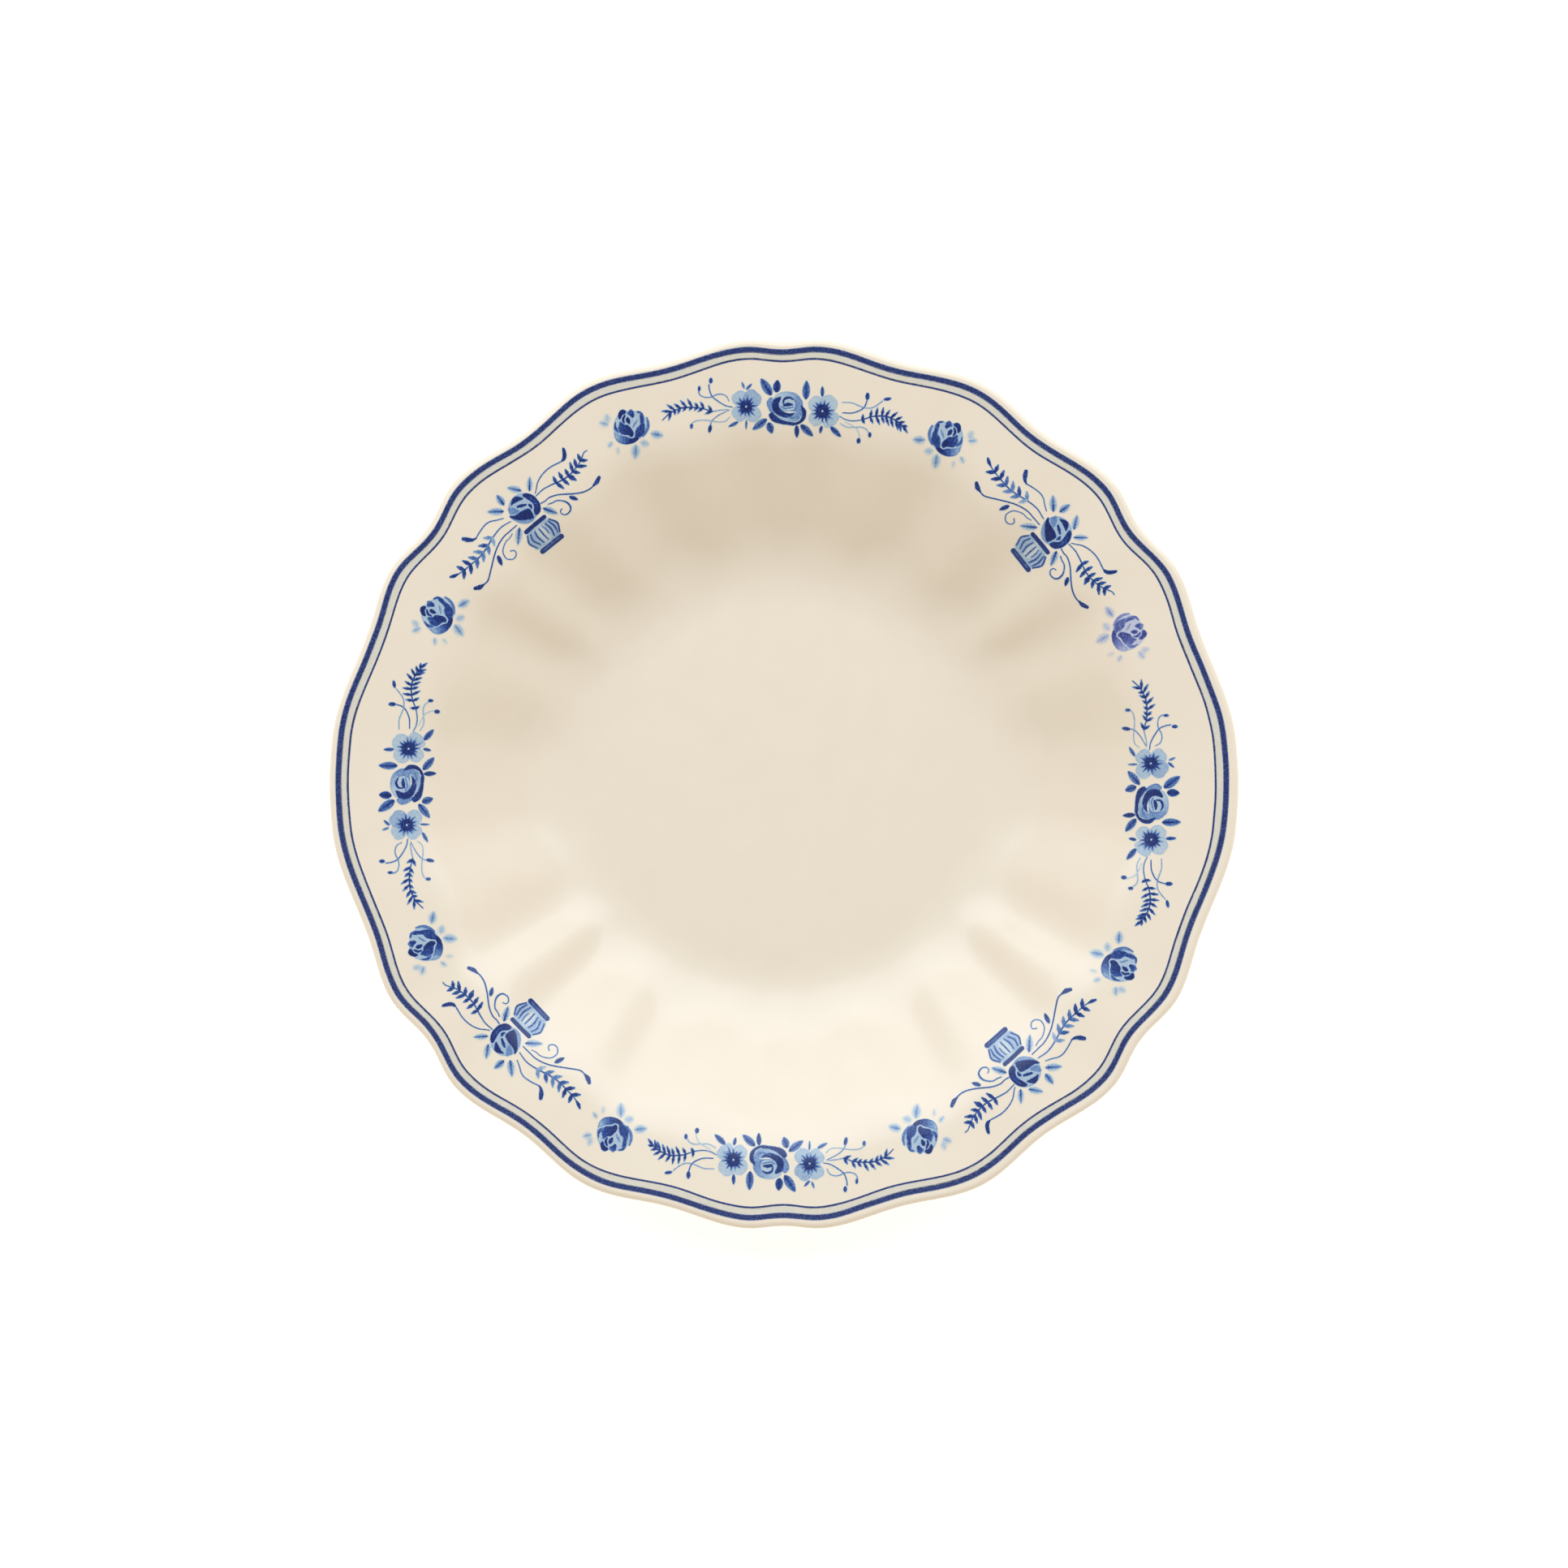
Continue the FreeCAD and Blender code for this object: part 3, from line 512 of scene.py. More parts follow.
def draw_garland():
    """Three flowers, leaves around them, tendrils and a fern at each side."""
    drawing = Drawing(((-36, -10), (36, 9.5)), 0.17)
    for root, tip, width, ink, vein in [
        ((-4.6, 3.2), (-7.7, 7.6), 2.4, 0.6, 0.95),
        ((-3.3, 4), (-3.1, 7.4), 2.1, 0.85, 1.0),
        ((-12.1, 4.6), (-12.9, 6.5), 0.7, 0.6, None),
        ((-11.6, 4.4), (-10.1, 6.1), 0.8, 0.7, None),
        ((-5.6, -3.3), (-9.4, -6.3), 2.0, 0.55, 0.9),
        ((-5.1, -4.2), (-4, -7.1), 2.0, 0.65, 0.95),
        ((-13.4, -4.4), (-16.1, -5.9), 1.0, 0.6, 0.8),
        ((-11.2, -3.7), (-11.2, -6.3), 0.6, 0.7, None),
        ((4.9, 2.5), (4.9, 7.6), 2.1, 0.6, 0.95),
        ((9.4, 3.4), (9.3, 6.3), 1.0, 0.8, None),
        ((9.6, -4.4), (9.2, -6.5), 0.9, 0.85, None),
        ((12.0, -4.6), (15, -7.2), 1.5, 0.7, 0.95),
        ((3.8, -4.4), (7.3, -7.3), 1.9, 0.65, 0.95),
        ((2.7, -4.6), (2.9, -7.9), 1.3, 0.95, None),
    ]:
        drawing.leaf(root, tip, width, ink, vein)
    left = [(-13.3, 2.0, 2.1, 0.22), (-9.8, 2.1, 2.4, 0.3), (-13.2, -2.1, 2.1, 0.22), (-9.3, -2.2, 2.1, 0.22)]
    paint_side_flower(drawing, (-11.4, -0.2), left, 1.6, 14, 3.1)
    right = [(11.2, -3.8, 1.2, 0.2), (7.8, 1.4, 2.2, 0.2), (11.3, 1.6, 2.4, 0.2)]
    right += [(12.3, -2.4, 1.9, 0.22), (7.9, -2.6, 2.0, 0.2)]
    paint_side_flower(drawing, (9.6, -0.5), right, 1.8, 15, 3.2)
    paint_rose_head(drawing)
    drawing.twig([(-15.2, -0.5), (-17, -0.2), (-19, 0.8), (-20.9, 2.2), (-21.7, 4), (-21.9, 5.3)], 0.7)
    drawing.bud((-21.4, 6.4), (1.0, 1.6), 0.8)
    drawing.twig([(-16.2, 1.1), (-17, 2.4), (-18.5, 2.9), (-19.9, 2.6), (-21, 2), (-22.5, 1.75)], 0.5)
    drawing.twig([(-22.5, 1.75), (-24, 2.2), (-24.7, 3.2)], 0.5, bud=(-24.5, 4.1, 0.8, 1.5), bud_ink=0.75)
    pale = [(-16, -1.3), (-17.5, -2.1), (-19.2, -3.1), (-20.5, -4.3), (-21, -5.3)]
    drawing.twig(pale, 0.5, 0.32, (-21.1, -6.6, 1.0, 2.2), 0.85, -10)
    faint = [(-15.8, -3.2), (-17, -4.4), (-19, -4.7), (-21, -4.5), (-23, -4.4), (-25, -4.7), (-26, -5.3)]
    drawing.twig(faint, 0.36, 0.3, (-26.2, -6.2, 0.9, 1.4), 0.75)
    drawing.twig([(-16.5, -1.2), (-18.6, -1.5), (-20.7, -2)], 0.4)
    spine = [(-20.8, -2), (-23.1, -1.3), (-25, -1.1), (-26.5, -1.1), (-28, -1.2), (-29.5, -1.5), (-31, -2.2)]
    spine += [(-32.3, -2.9), (-33, -3.6), (-34.2, -4.9)]
    leaflets = []
    for x, y, upper_x, upper_y, lower_x, lower_y in [
        (-20.8, -1.9, -21.8, -0.4, -22.6, -2.7),
        (-23.1, -1, -24, 0.5, -24.6, -2.2),
        (-24.7, -0.8, -25.6, 0.1, -25.6, -1.9),
        (-26.3, -0.9, -27.6, 1.1, -27, -1.9),
        (-27.9, -1, -29.5, 0.6, -28.7, -2.2),
        (-29.5, -1.4, -31.2, -0.4, -30.1, -3),
        (-31, -2, -33.2, -0.7, -30.9, -3.3),
        (-32, -2.5, -34.5, -2.5, -32.5, -4.9),
    ]:
        leaflets += [(x, y, upper_x, upper_y), (x, y, lower_x, lower_y)]
    drawing.spray(spine, leaflets, 0.75, 0.85, 0.5)
    drawing.twig([(15.2, -0.7), (17.5, -0.7), (19, -0.3), (20.5, 0.5), (21.3, 1.5), (21.7, 2.8)], 0.75)
    drawing.bud((21.8, 4), (1.1, 2.0), 0.85)
    drawing.twig([(14.9, 2.1), (17.5, 2.1), (19.5, 1.4), (21, 0.9), (23, 0.9), (24.5, 1.7), (26, 2.9)], 0.42)
    drawing.bud((27.3, 3.5), (2.1, 0.9), 0.8, 10)
    drawing.twig([(14.6, -3.6), (16.5, -4.5), (18.5, -4.5), (20.5, -4.4), (21.8, -4.9), (22.5, -5.8)], 0.36)
    drawing.bud((22.9, -6.4), (0.9, 1.4), 0.85)
    drawing.twig([(16, -3.2), (18, -4.1), (19.2, -4.9), (19.9, -6.2), (20.2, -7.3)], 0.22)
    drawing.bud((19.9, -8.1), (1.1, 1.5), 0.85)
    drawing.twig([(14.4, -1.7), (16, -2.5), (18, -2.8), (20.3, -2.5)], 0.6)
    spine = [(20.3, -2.5), (21.5, -2.1), (23, -1.5), (25, -1.2), (27, -1.2), (28.5, -1.6), (30, -2.3)]
    spine += [(31.2, -3.1), (32.2, -4.2), (33.1, -5.3)]
    leaflets = []
    for x, y, upper_x, upper_y, lower_x, lower_y in [
        (20.7, -2.4, 20.8, -1, 21.3, -3.3),
        (22.8, -1.7, 23.1, 0.3, 23.6, -3.2),
        (24.4, -1.3, 24.7, 1, 25.5, -3.5),
        (26, -1.2, 26.3, 1.1, 26.6, -3),
        (27, -1.2, 28.1, 0.5, 28, -3.6),
        (28.4, -1.6, 30.2, 0, 29.2, -4),
        (29.8, -2.1, 31.5, -1.2, 30.6, -4.7),
        (30.8, -2.8, 32.3, -2.5, 31.4, -5.1),
        (31.8, -3.6, 33.1, -3.7, 33.2, -5.4),
    ]:
        leaflets += [(x, y, upper_x, upper_y), (x, y, lower_x, lower_y)]
    drawing.spray(spine, leaflets, 0.75, 0.88, 0.6)
    return drawing


def paint_vase_bud(drawing):
    """The half open bud that stands on the vase."""
    turns = np.linspace(0, 2 * np.pi, 13)[:-1]
    around = [(4.3 * math.cos(turn) - 0.1, 4.1 * math.sin(turn)) for turn in turns]
    drawing.petal(around, 0.24, 0.15)
    drawing.petal([(-4, 1), (-3.6, 2.6), (-2.2, 1.6), (-1.5, 0.1), (-3, 0.2)], 0.45)
    band_low = [(-4.6, -0.2), (-3.6, -2.4), (-2, -3.9), (-0.2, -4.3), (0.8, -3.8), (-1.5, -2.9), (-3.4, -1.4)]
    drawing.petal(band_low, 0.38)
    drawing.petal([(-2.4, 2.7), (-0.9, 3.9), (0.3, 3.7), (1.4, 2.2), (0.3, 2.3), (-1.2, 2.6)], 0.98)
    big = [(-4.6, 0.6), (-3.3, -0.1), (-1, -0.3), (0.9, -0.9), (1.0, -2.2), (0.9, -3.1), (0.2, -3.7)]
    drawing.petal(big + [(-1.5, -2.9), (-3.2, -1.7), (-4.4, -0.3)], 1.0)
    drawing.stroke([(-1.2, 1.3), (-0.2, 0.9), (0.9, 0.4)], (0.6, 0.85, 0.5), 0.9)
    right = [(1.7, 2.9), (2.8, 2.9), (4.0, 1.4), (4.3, -0.2), (4.2, -1.6), (3.3, -3.2), (1.9, -3.7)]
    drawing.petal(right + [(1.3, -3.2), (1.6, -2.3), (2.5, -1.2), (2.6, 0), (2.1, 1.5)], 0.95)
    drawing.petal([(2.9, 1.6), (3.6, 0.5), (3.6, -1.2), (3.1, -2.0), (3.0, -0.4)], 0.75)
    drawing.stroke([(1.6, -0.2), (1.8, -0.7), (1.7, -1.3)], (0.6, 0.9, 0.5), 0.9)
    drawing.stroke([(1.4, 3), (1.9, 1.5), (2.4, -0.5), (1.3, -2.2), (0.95, -3.2)], 0.28, 0.22)


def paint_urn(drawing):
    """The ribbed pot under the bud, between two bars."""
    right = [(3.3, -6.1), (4.1, -6.9), (4.6, -8.3), (4.4, -9.8), (3.6, -11.3)]
    left = [(-3.8, -11.3), (-4.7, -9.8), (-4.9, -8.3), (-4.4, -6.9), (-3.7, -6.1)]
    drawing.petal([(0, -6.0)] + right + [(0, -11.4)] + left, 0.27)
    pale = [(-1, -6.6), (1, -6.6), (1.5, -8.5), (0.8, -10.6), (-0.8, -10.6), (-1.4, -8.5)]
    drawing.petal(pale, 0.12, soft=1.4)
    for ribs, ink in [
        ([(-4, -6.6), (-4.9, -8.5), (-3.9, -10.6)], 0.75),
        ([(-3.1, -6.8), (-3.5, -8.5), (-2.6, -10.4)], 0.75),
        ([(-1.7, -6.9), (-1.9, -8.6), (-1.4, -10.5)], 0.75),
        ([(-0.3, -6.9), (-0.2, -8.8), (0, -10.5)], 0.7),
        ([(0.9, -6.9), (1.2, -8), (1.2, -9.4)], 0.55),
        ([(2, -6.9), (2.4, -8.8), (2, -10.8)], 0.75),
        ([(3.1, -6.8), (3.6, -8.8), (3.3, -10.6)], 0.75),
        ([(3.6, -6.5), (4.8, -8.6), (3.8, -10.9)], 0.8),
    ]:
        drawing.stroke(ribs, (0.4, 0.5, 0.4), ink)
    drawing.stroke([(-3.6, -5.5), (-0.3, -5.3), (2.9, -5.25)], 1.15, 0.95)
    drawing.stroke([(-3.3, -12.2), (0, -12.15), (3.4, -12.1)], 1.35, 0.92)
    drawing.stroke([(-2.8, -12.1), (0, -12.05), (2.8, -12.05)], 0.3, 0.6)


def draw_vase():
    """A bud on a ribbed pot, with tendrils and a fern at each side."""
    drawing = Drawing(((-29, -14), (25.5, 8.5)), 0.16)
    for root, tip, width, ink, vein in [
        ((-5.0, 2.6), (-8.7, 5.2), 2.0, 0.26, 0.8),
        ((-3.9, 3.9), (-3.8, 7.3), 1.9, 0.36, 0.85),
        ((2.3, 4.1), (-0.3, 7.2), 1.9, 0.24, 0.75),
        ((4.0, 2.7), (6.5, 5.8), 1.6, 0.24, 0.85),
        ((-4.3, -3.5), (-7.6, -6.9), 1.9, 0.24, 0.85),
        ((4.1, -3.2), (6.4, -6.8), 1.8, 0.3, 0.95),
    ]:
        drawing.leaf(root, tip, width, ink, vein, 0.6)
    paint_urn(drawing)
    paint_vase_bud(drawing)
    stem = [(-6.3, 1.2), (-8.1, 1.9), (-9.5, 2.6), (-11, 2.8), (-12.5, 2.5), (-14, 2), (-15.6, 1.35)]
    drawing.twig(stem, 0.7)
    drawing.stroke([(-15.6, 1.35), (-16.6, 1.6), (-17.6, 2.4), (-18.4, 3.3)], (0.4, 0.9, 1.3, 1.0), 0.85)
    spine = [(-5.2, -0.7), (-7.8, -0.4), (-9.5, -0.6), (-11, -1), (-13, -1.7), (-15, -2.5), (-17, -3.1)]
    spine += [(-19, -3.4), (-21.5, -3.5), (-23.5, -3.6), (-25, -3.5), (-26.4, -3.2)]
    leaflets = []
    for x, y, upper_x, upper_y, upper, lower_x, lower_y, lower in [
        (-11.9, -1.2, -13.8, 0.1, 0.45, -12.8, -3.3, 0.35),
        (-14.1, -2.1, -16.2, -0.8, 0.75, -15.3, -4.2, 0.55),
        (-16.3, -2.9, -18.3, -1.2, 0.5, -17.8, -4.9, 0.5),
        (-18.7, -3.3, -20.3, -1.6, 0.65, -20.2, -5.2, 0.65),
        (-21.1, -3.5, -22.2, -1.4, 0.9, -22.5, -5.4, 0.9),
        (-23.4, -3.6, -24.4, -1.7, 0.85, -24.9, -5.3, 0.85),
    ]:
        leaflets += [(x, y, upper_x, upper_y, 1.0, upper), (x, y, lower_x, lower_y, 1.0, lower)]
    drawing.spray(spine, leaflets, 1.05, 0.8, 0.75)
    drawing.stroke([(-25.6, -3.4), (-26.6, -3.2), (-27.6, -2.8)], (0.5, 1.0, 0.6), 0.85)
    long = [(-4.6, -2.5), (-7.5, -2.7), (-9, -2.8), (-11, -3.4), (-13, -4.4), (-15, -5.8), (-17, -7.4)]
    drawing.twig(long + [(-19, -9), (-20.3, -9.8), (-21.8, -9.9), (-23, -9.7)], 0.85, 0.36)
    drawing.stroke([(-21.7, -9.9), (-23, -9.8), (-24.2, -9.3)], (0.5, 1.35, 0.9), 0.9)
    curl = [(-6.9, -3.6), (-8.2, -4.1), (-9.5, -4.25), (-10.8, -4.9), (-12, -6), (-12.4, -7.5), (-12.1, -8.4)]
    curl += [(-11.2, -9.1), (-10.2, -9.1), (-9.4, -8.5), (-9.2, -7.8), (-9.6, -7.3), (-10.2, -7.05)]
    drawing.twig(curl, 0.7, 0.3)
    drawing.leaf((-13.7, -5.9), (-14.5, -8.8), 1.2, 0.92)
    stem = [(4.9, 1.3), (5.9, 2.1), (7.2, 3.2), (9, 4), (11, 4.4), (12.8, 4.4), (15, 4), (16, 3.8)]
    drawing.twig(stem, 0.75)
    comma = [(15.9, 3.9), (17, 4.7), (18.3, 6.5), (18.8, 6.2), (18.6, 5.3), (17.9, 4.1), (16.8, 3.5)]
    drawing.petal(comma, 0.92)
    spine = [(4.6, 0.6), (7.2, 0.85), (9, 0.6), (10.5, 0.3), (12, -0.1)]
    spine += [(13.5, -0.4), (15.2, -0.4), (17, -0.2)]
    spine += [(18.5, 0.2), (20, 0.7), (21.2, 1.4), (22.3, 2), (23.3, 2)]
    leaflets = []
    for x, y, upper_x, upper_y, lower_x, lower_y, lower_width in [
        (11.2, 0.1, 11.6, 1.8, 11.9, -2.3, 1.0),
        (13.2, -0.3, 13.5, 1.8, 13.7, -2.3, 1.0),
        (15.1, -0.4, 15.4, 1.4, 16, -2.6, 1.4),
        (16.7, -0.3, 17.6, 2.1, 18, -1.6, 1.0),
        (18.3, 0.3, 19.1, 2.1, 20.6, -1.2, 1.0),
        (20.2, 0.9, 20.7, 2.6, 21.7, -0.1, 1.0),
    ]:
        leaflets += [(x, y, upper_x, upper_y), (x, y, lower_x, lower_y, lower_width, 0.85)]
    drawing.spray(spine, leaflets, 0.95, 0.8, 0.8)
    long = [(4.4, -1.8), (5.8, -2), (7, -1.9), (8.5, -2.3), (10, -3), (11.5, -4), (13, -5), (15, -6.1)]
    drawing.twig(long + [(16.5, -6.6), (18, -6.75), (19.5, -6.55)], 0.85, 0.36)
    drawing.stroke([(18.9, -6.6), (20.2, -6.4), (21.5, -5.8)], (0.5, 1.2, 0.9), 0.88)
    curl = [(5.9, -3.2), (7.1, -3.6), (8.2, -3.75), (9.3, -4.5), (10.2, -5.7), (10.4, -7), (9.9, -8)]
    curl += [(8.6, -8.4), (7.6, -8), (7.2, -7.2), (7.5, -6.6), (8.1, -6.4)]
    drawing.stroke(curl, (0.3, 0.32, 0.36, 0.55, 0.4, 0.3, 0.28), 0.75)
    drawing.leaf((11.7, -5.0), (13.2, -7.1), 1.1, 0.92)
    return drawing


def draw_rose(darkest):
    """A single rose with soft leaves."""
    drawing = Drawing(((-9, -10), (9.5, 7)), 0.14)
    for root, tip, width, ink, vein in [
        ((5.3, 2.9), (4.6, 5.8), 1.6, 0.22, 0.22),
        ((5.2, 2.4), (7.6, 4.3), 1.7, 0.22, 0.38),
        ((-4.2, -4.0), (-7.5, -6.2), 2.0, 0.3, 0.55),
        ((-0.6, -5.0), (-3.0, -6.9), 1.9, 0.22, 0.28),
        ((0.4, -5.1), (2.5, -9.0), 2.3, 0.26, 0.5),
        ((6.0, -2.0), (8.2, -3.2), 1.2, 0.22, 0.38),
        ((5.3, -3.8), (6.3, -6.1), 1.0, 0.16, 0.24),
    ]:
        drawing.leaf(root, tip, width, ink, vein, 1.0)
    ground = [(-4.8, 0.4), (-3.9, 2.4), (-2.3, 3.4), (0.4, 4.4), (2.6, 3.6), (4.3, 1.6), (5.0, -0.9)]
    drawing.petal(ground + [(4.6, -3), (2.6, -4.3), (0, -4.3), (-2.8, -3.9), (-4.6, -2.2)], 0.22, 0.1)
    outer = [(-5.1, 0.2), (-4.9, -1.2), (-4.3, -2.3), (-3.3, -3.3), (-2.2, -3.9)]
    drawing.stroke(outer, (0.5, 0.9, 0.6), 0.55)
    body = [(-4.3, 1.5), (-4.3, 0.5), (-3.9, -0.6), (-3.7, -1.8), (-2.6, -3.5), (-0.5, -3.9), (0, -3.2)]
    body += [(-0.5, -2.3), (-1.5, -1.2), (-2.6, -0.8), (-3.2, 0.5), (-3.6, 1.6)]
    drawing.petal(body, 0.8)
    drawing.stroke([(-3.4, 2.7), (-4.1, 2.0), (-4.3, 1.2)], (0.5, 0.7, 0.5), 0.7)
    drawing.stroke([(-2.4, 0.6), (-1.6, 0.1), (-0.5, -0.7)], (0.3, 0.6, 0.3), 0.45)
    low = [(-0.8, -4.1), (0.5, -4.6), (2, -4.5), (3.4, -4), (4.8, -2.8), (5.2, -1.2), (4.6, 0.1)]
    low += [(4.2, -0.4), (3.2, -1.5), (2, -2.4), (1.2, -3.2), (0, -3.4)]
    drawing.petal(low, ((0.8, -4.2, 1.0), (4.6, -1.5, 0.32)), 0.12)
    shield = [(2, 2.1), (1.3, 0.9), (0.5, 0.4), (0.1, -0.6), (-0.2, -1.8), (0.3, -2.8), (1.1, -2.9)]
    shield += [(1.4, -2.2), (3, -1.3), (3.3, -0.6), (3.3, 0.6), (2.7, 1.4)]
    drawing.petal(shield, ((0.5, -1, 0.97), (3.2, 0.4, 0.72)))
    right = [(3.3, 2.5), (4.2, 1.3), (4.3, 0.4), (3.9, -0.4), (3.4, -0.5), (3.5, 0.6), (3.6, 1.4)]
    drawing.petal(right, ((3.5, 2.2, 0.95), (3.7, -0.2, 0.6)))
    top_left = [(-2.4, 3.4), (-1.9, 4.1), (-0.8, 3.6), (-0.6, 3.2)]
    top_left += [(-1.1, 2.5), (-1.4, 1.8), (-2, 1.9), (-2.3, 2.7)]
    drawing.petal(top_left, ((-1.6, 4.0, 0.55), (-1.7, 2.6, 0.88)))
    top_right = [(-0.5, 4.2), (0.2, 4.9), (1.2, 4.7), (2, 3.7), (2, 2.8), (1.6, 2.8), (0.8, 3.5), (-0.2, 3.6)]
    drawing.petal(top_right, 1.0)
    drawing.petal([(-0.4, 2.3), (-0.6, 1.5), (-0.1, 0.5), (0.5, 1.5), (0.1, 2.4)], 1.0)
    drawing.stroke([(0.3, 3.1), (1.1, 2.3), (1.2, 1.4)], (0.5, 0.7, 0.4), 0.95)
    highlight = [(4.4, -0.1), (3, -1.5), (1.6, -2.4), (0.9, -3.2), (0.1, -3), (-0.3, -2.2), (-0.3, -0.5)]
    drawing.stroke(highlight, 0.28, 0.2)
    drawing.stroke([(-4.9, 0.3), (-4.5, -0.5), (-4.1, -1.3), (-3.6, -2.2)], 0.25, 0.22)
    drawing.ink *= darkest
    return drawing


# Where each print lies: angle from +Y, radius of its middle, shift clockwise, tilt clockwise, mirrored.
GARLANDS = [
    (0.5, 103.5, 0.1, 2, False),
    (93.0, 101.6, 0.4, -4, False),
    (182.0, 104.3, 0.7, 0, False),
    (270.5, 103.9, -0.8, 0, False),
]
VASES = [
    (46.5, 102.2, 1.4, 6, False),
    (140.0, 103.4, 0.1, 0, False),
    (227.0, 104.2, 0.75, 1, False),
    (316.5, 104.3, 0.4, 6, False),
]
ROSES = [
    (25.7, 105.4, -1.0, 10, False),
    (66.2, 103.6, 0.1, 22, False),
    (119.5, 105.2, -2.1, 9, False),
    (158.5, 104.3, 0.5, 0, True),
    (206.0, 107.5, -0.2, 2, False),
    (245.8, 108.3, 0.3, 0, True),
    (296.0, 106.1, 0.2, 0, True),
    (336.8, 107.2, -0.1, 0, True),
]
FAINTEST_INK = 0.035


def transfer(name, drawing, spot, material):
    """The drawing laid on the plate at a spot, as a skin around what is printed."""
    angle, radius, shift, tilt, mirrored = spot
    inked = drawing.ink > FAINTEST_INK
    cells = inked[:-1, :-1] | inked[1:, :-1] | inked[:-1, 1:] | inked[1:, 1:]
    columns, rows = np.nonzero(cells)
    height = drawing.ink.shape[1]
    quads = np.stack([
        columns * height + rows,
        (columns + 1) * height + rows,
        (columns + 1) * height + rows + 1,
        columns * height + rows + 1,
    ], axis=-1)
    if mirrored:
        quads = quads[:, ::-1]
    used, quads = np.unique(quads, return_inverse=True)
    quads = quads.reshape(-1, 4)
    edges = np.concatenate([quads[:, [i, (i + 1) % 4]] for i in range(4)])
    count = len(used)
    keys, reverse = edges[:, 0] * count + edges[:, 1], edges[:, 1] * count + edges[:, 0]
    rim = edges[~np.isin(keys, reverse)]
    x, y = drawing.x.ravel()[used], drawing.y.ravel()[used]
    if mirrored:
        x = -x
    lean, turn = math.radians(tilt), math.radians(angle)
    across = shift + x * math.cos(lean) + y * math.sin(lean)
    out = radius - x * math.sin(lean) + y * math.cos(lean)
    place_x = out * math.sin(turn) + across * math.cos(turn)
    place_y = out * math.cos(turn) - across * math.sin(turn)
    top = rim_spot(place_x, place_y, PRINT_LIFT)
    sunk = top - np.array([0, 0, PRINT_LIFT + PRINT_SINK])
    if face_down(top, quads[0]):
        quads, rim = quads[:, ::-1], rim[:, ::-1]
    ink = drawing.ink.ravel()[used]
    return print_piece(name, top, sunk, quads.tolist(), rim.tolist(), ink, material)


def face_down(corners, face):
    """Whether a face's corners run clockwise, seen from above."""
    first, second, third = (corners[i] for i in face[:3])
    return np.cross(second - first, third - first)[2] < 0


# ---- Materials --------------------------------------------------------------------------------------


def linear(red, green, blue):
    """A colour given in sRGB, 0 to 255, as the renderer's linear values."""
    made = []
    for value in (red, green, blue):
        share = value / 255
        made.append(share / 12.92 if share <= 0.04045 else ((share + 0.055) / 1.055) ** 2.4)
    return (*made, 1.0)


CREAM = (236, 223, 204)
# Roughness and index of refraction of the fired glaze, and the size and strength of its waviness.
GLOSS = 0.24
GLAZE_IOR = 1.5
WAVE_SIZE, WAVE_STRENGTH = 6.0, 0.12
BUMP_HEIGHT = 0.1


def new_material(name):
    made = bpy.data.materials.new(name)
    made.use_nodes = True
    return made, made.node_tree.nodes, made.node_tree.links


def noise(nodes, links, size, detail=3.0):
    """Noise whose features are about size millimetres."""
    where = nodes.new("ShaderNodeTexCoord")
    made = nodes.new("ShaderNodeTexNoise")
    made.inputs["Scale"].default_value = 1 / (size * MM)
    made.inputs["Detail"].default_value = detail
    links.new(where.outputs["Object"], made.inputs["Vector"])
    return made


def ramp(nodes, stops):
    """A colour ramp through stops of (place, sRGB colour)."""
    made = nodes.new("ShaderNodeValToRGB")
    band = made.color_ramp
    while len(band.elements) < len(stops):
        band.elements.new(0.5)
    for element, (spot, colour) in zip(band.elements, stops):
        element.position = spot
        element.color = linear(*colour)
    return made


def soft_bump(nodes, links, shader, size, strength):
    """Slight waviness of the surface, in features of about size millimetres."""
    wave = noise(nodes, links, size, 1.0)
    bump = nodes.new("ShaderNodeBump")
    bump.inputs["Strength"].default_value = strength
    bump.inputs["Distance"].default_value = BUMP_HEIGHT * MM
    links.new(wave.outputs["Fac"], bump.inputs["Height"])
    links.new(bump.outputs["Normal"], shader.inputs["Normal"])


def glaze_material():
    """Warm cream glaze: glossy, a little uneven in tone."""
    made, nodes, links = new_material("cream_glaze")
    shader = nodes["Principled BSDF"]
    shader.inputs["Roughness"].default_value = GLOSS
    shader.inputs["IOR"].default_value = GLAZE_IOR
    tone = noise(nodes, links, 9.0, 4.0)
    darker, lighter = tuple(v - 1 for v in CREAM), tuple(v + 1 for v in CREAM)
    colours = ramp(nodes, [(0.3, darker), (0.7, lighter)])
    links.new(tone.outputs["Fac"], colours.inputs["Fac"])
    links.new(colours.outputs["Color"], shader.inputs["Base Color"])
    soft_bump(nodes, links, shader, WAVE_SIZE, WAVE_STRENGTH)
    return made


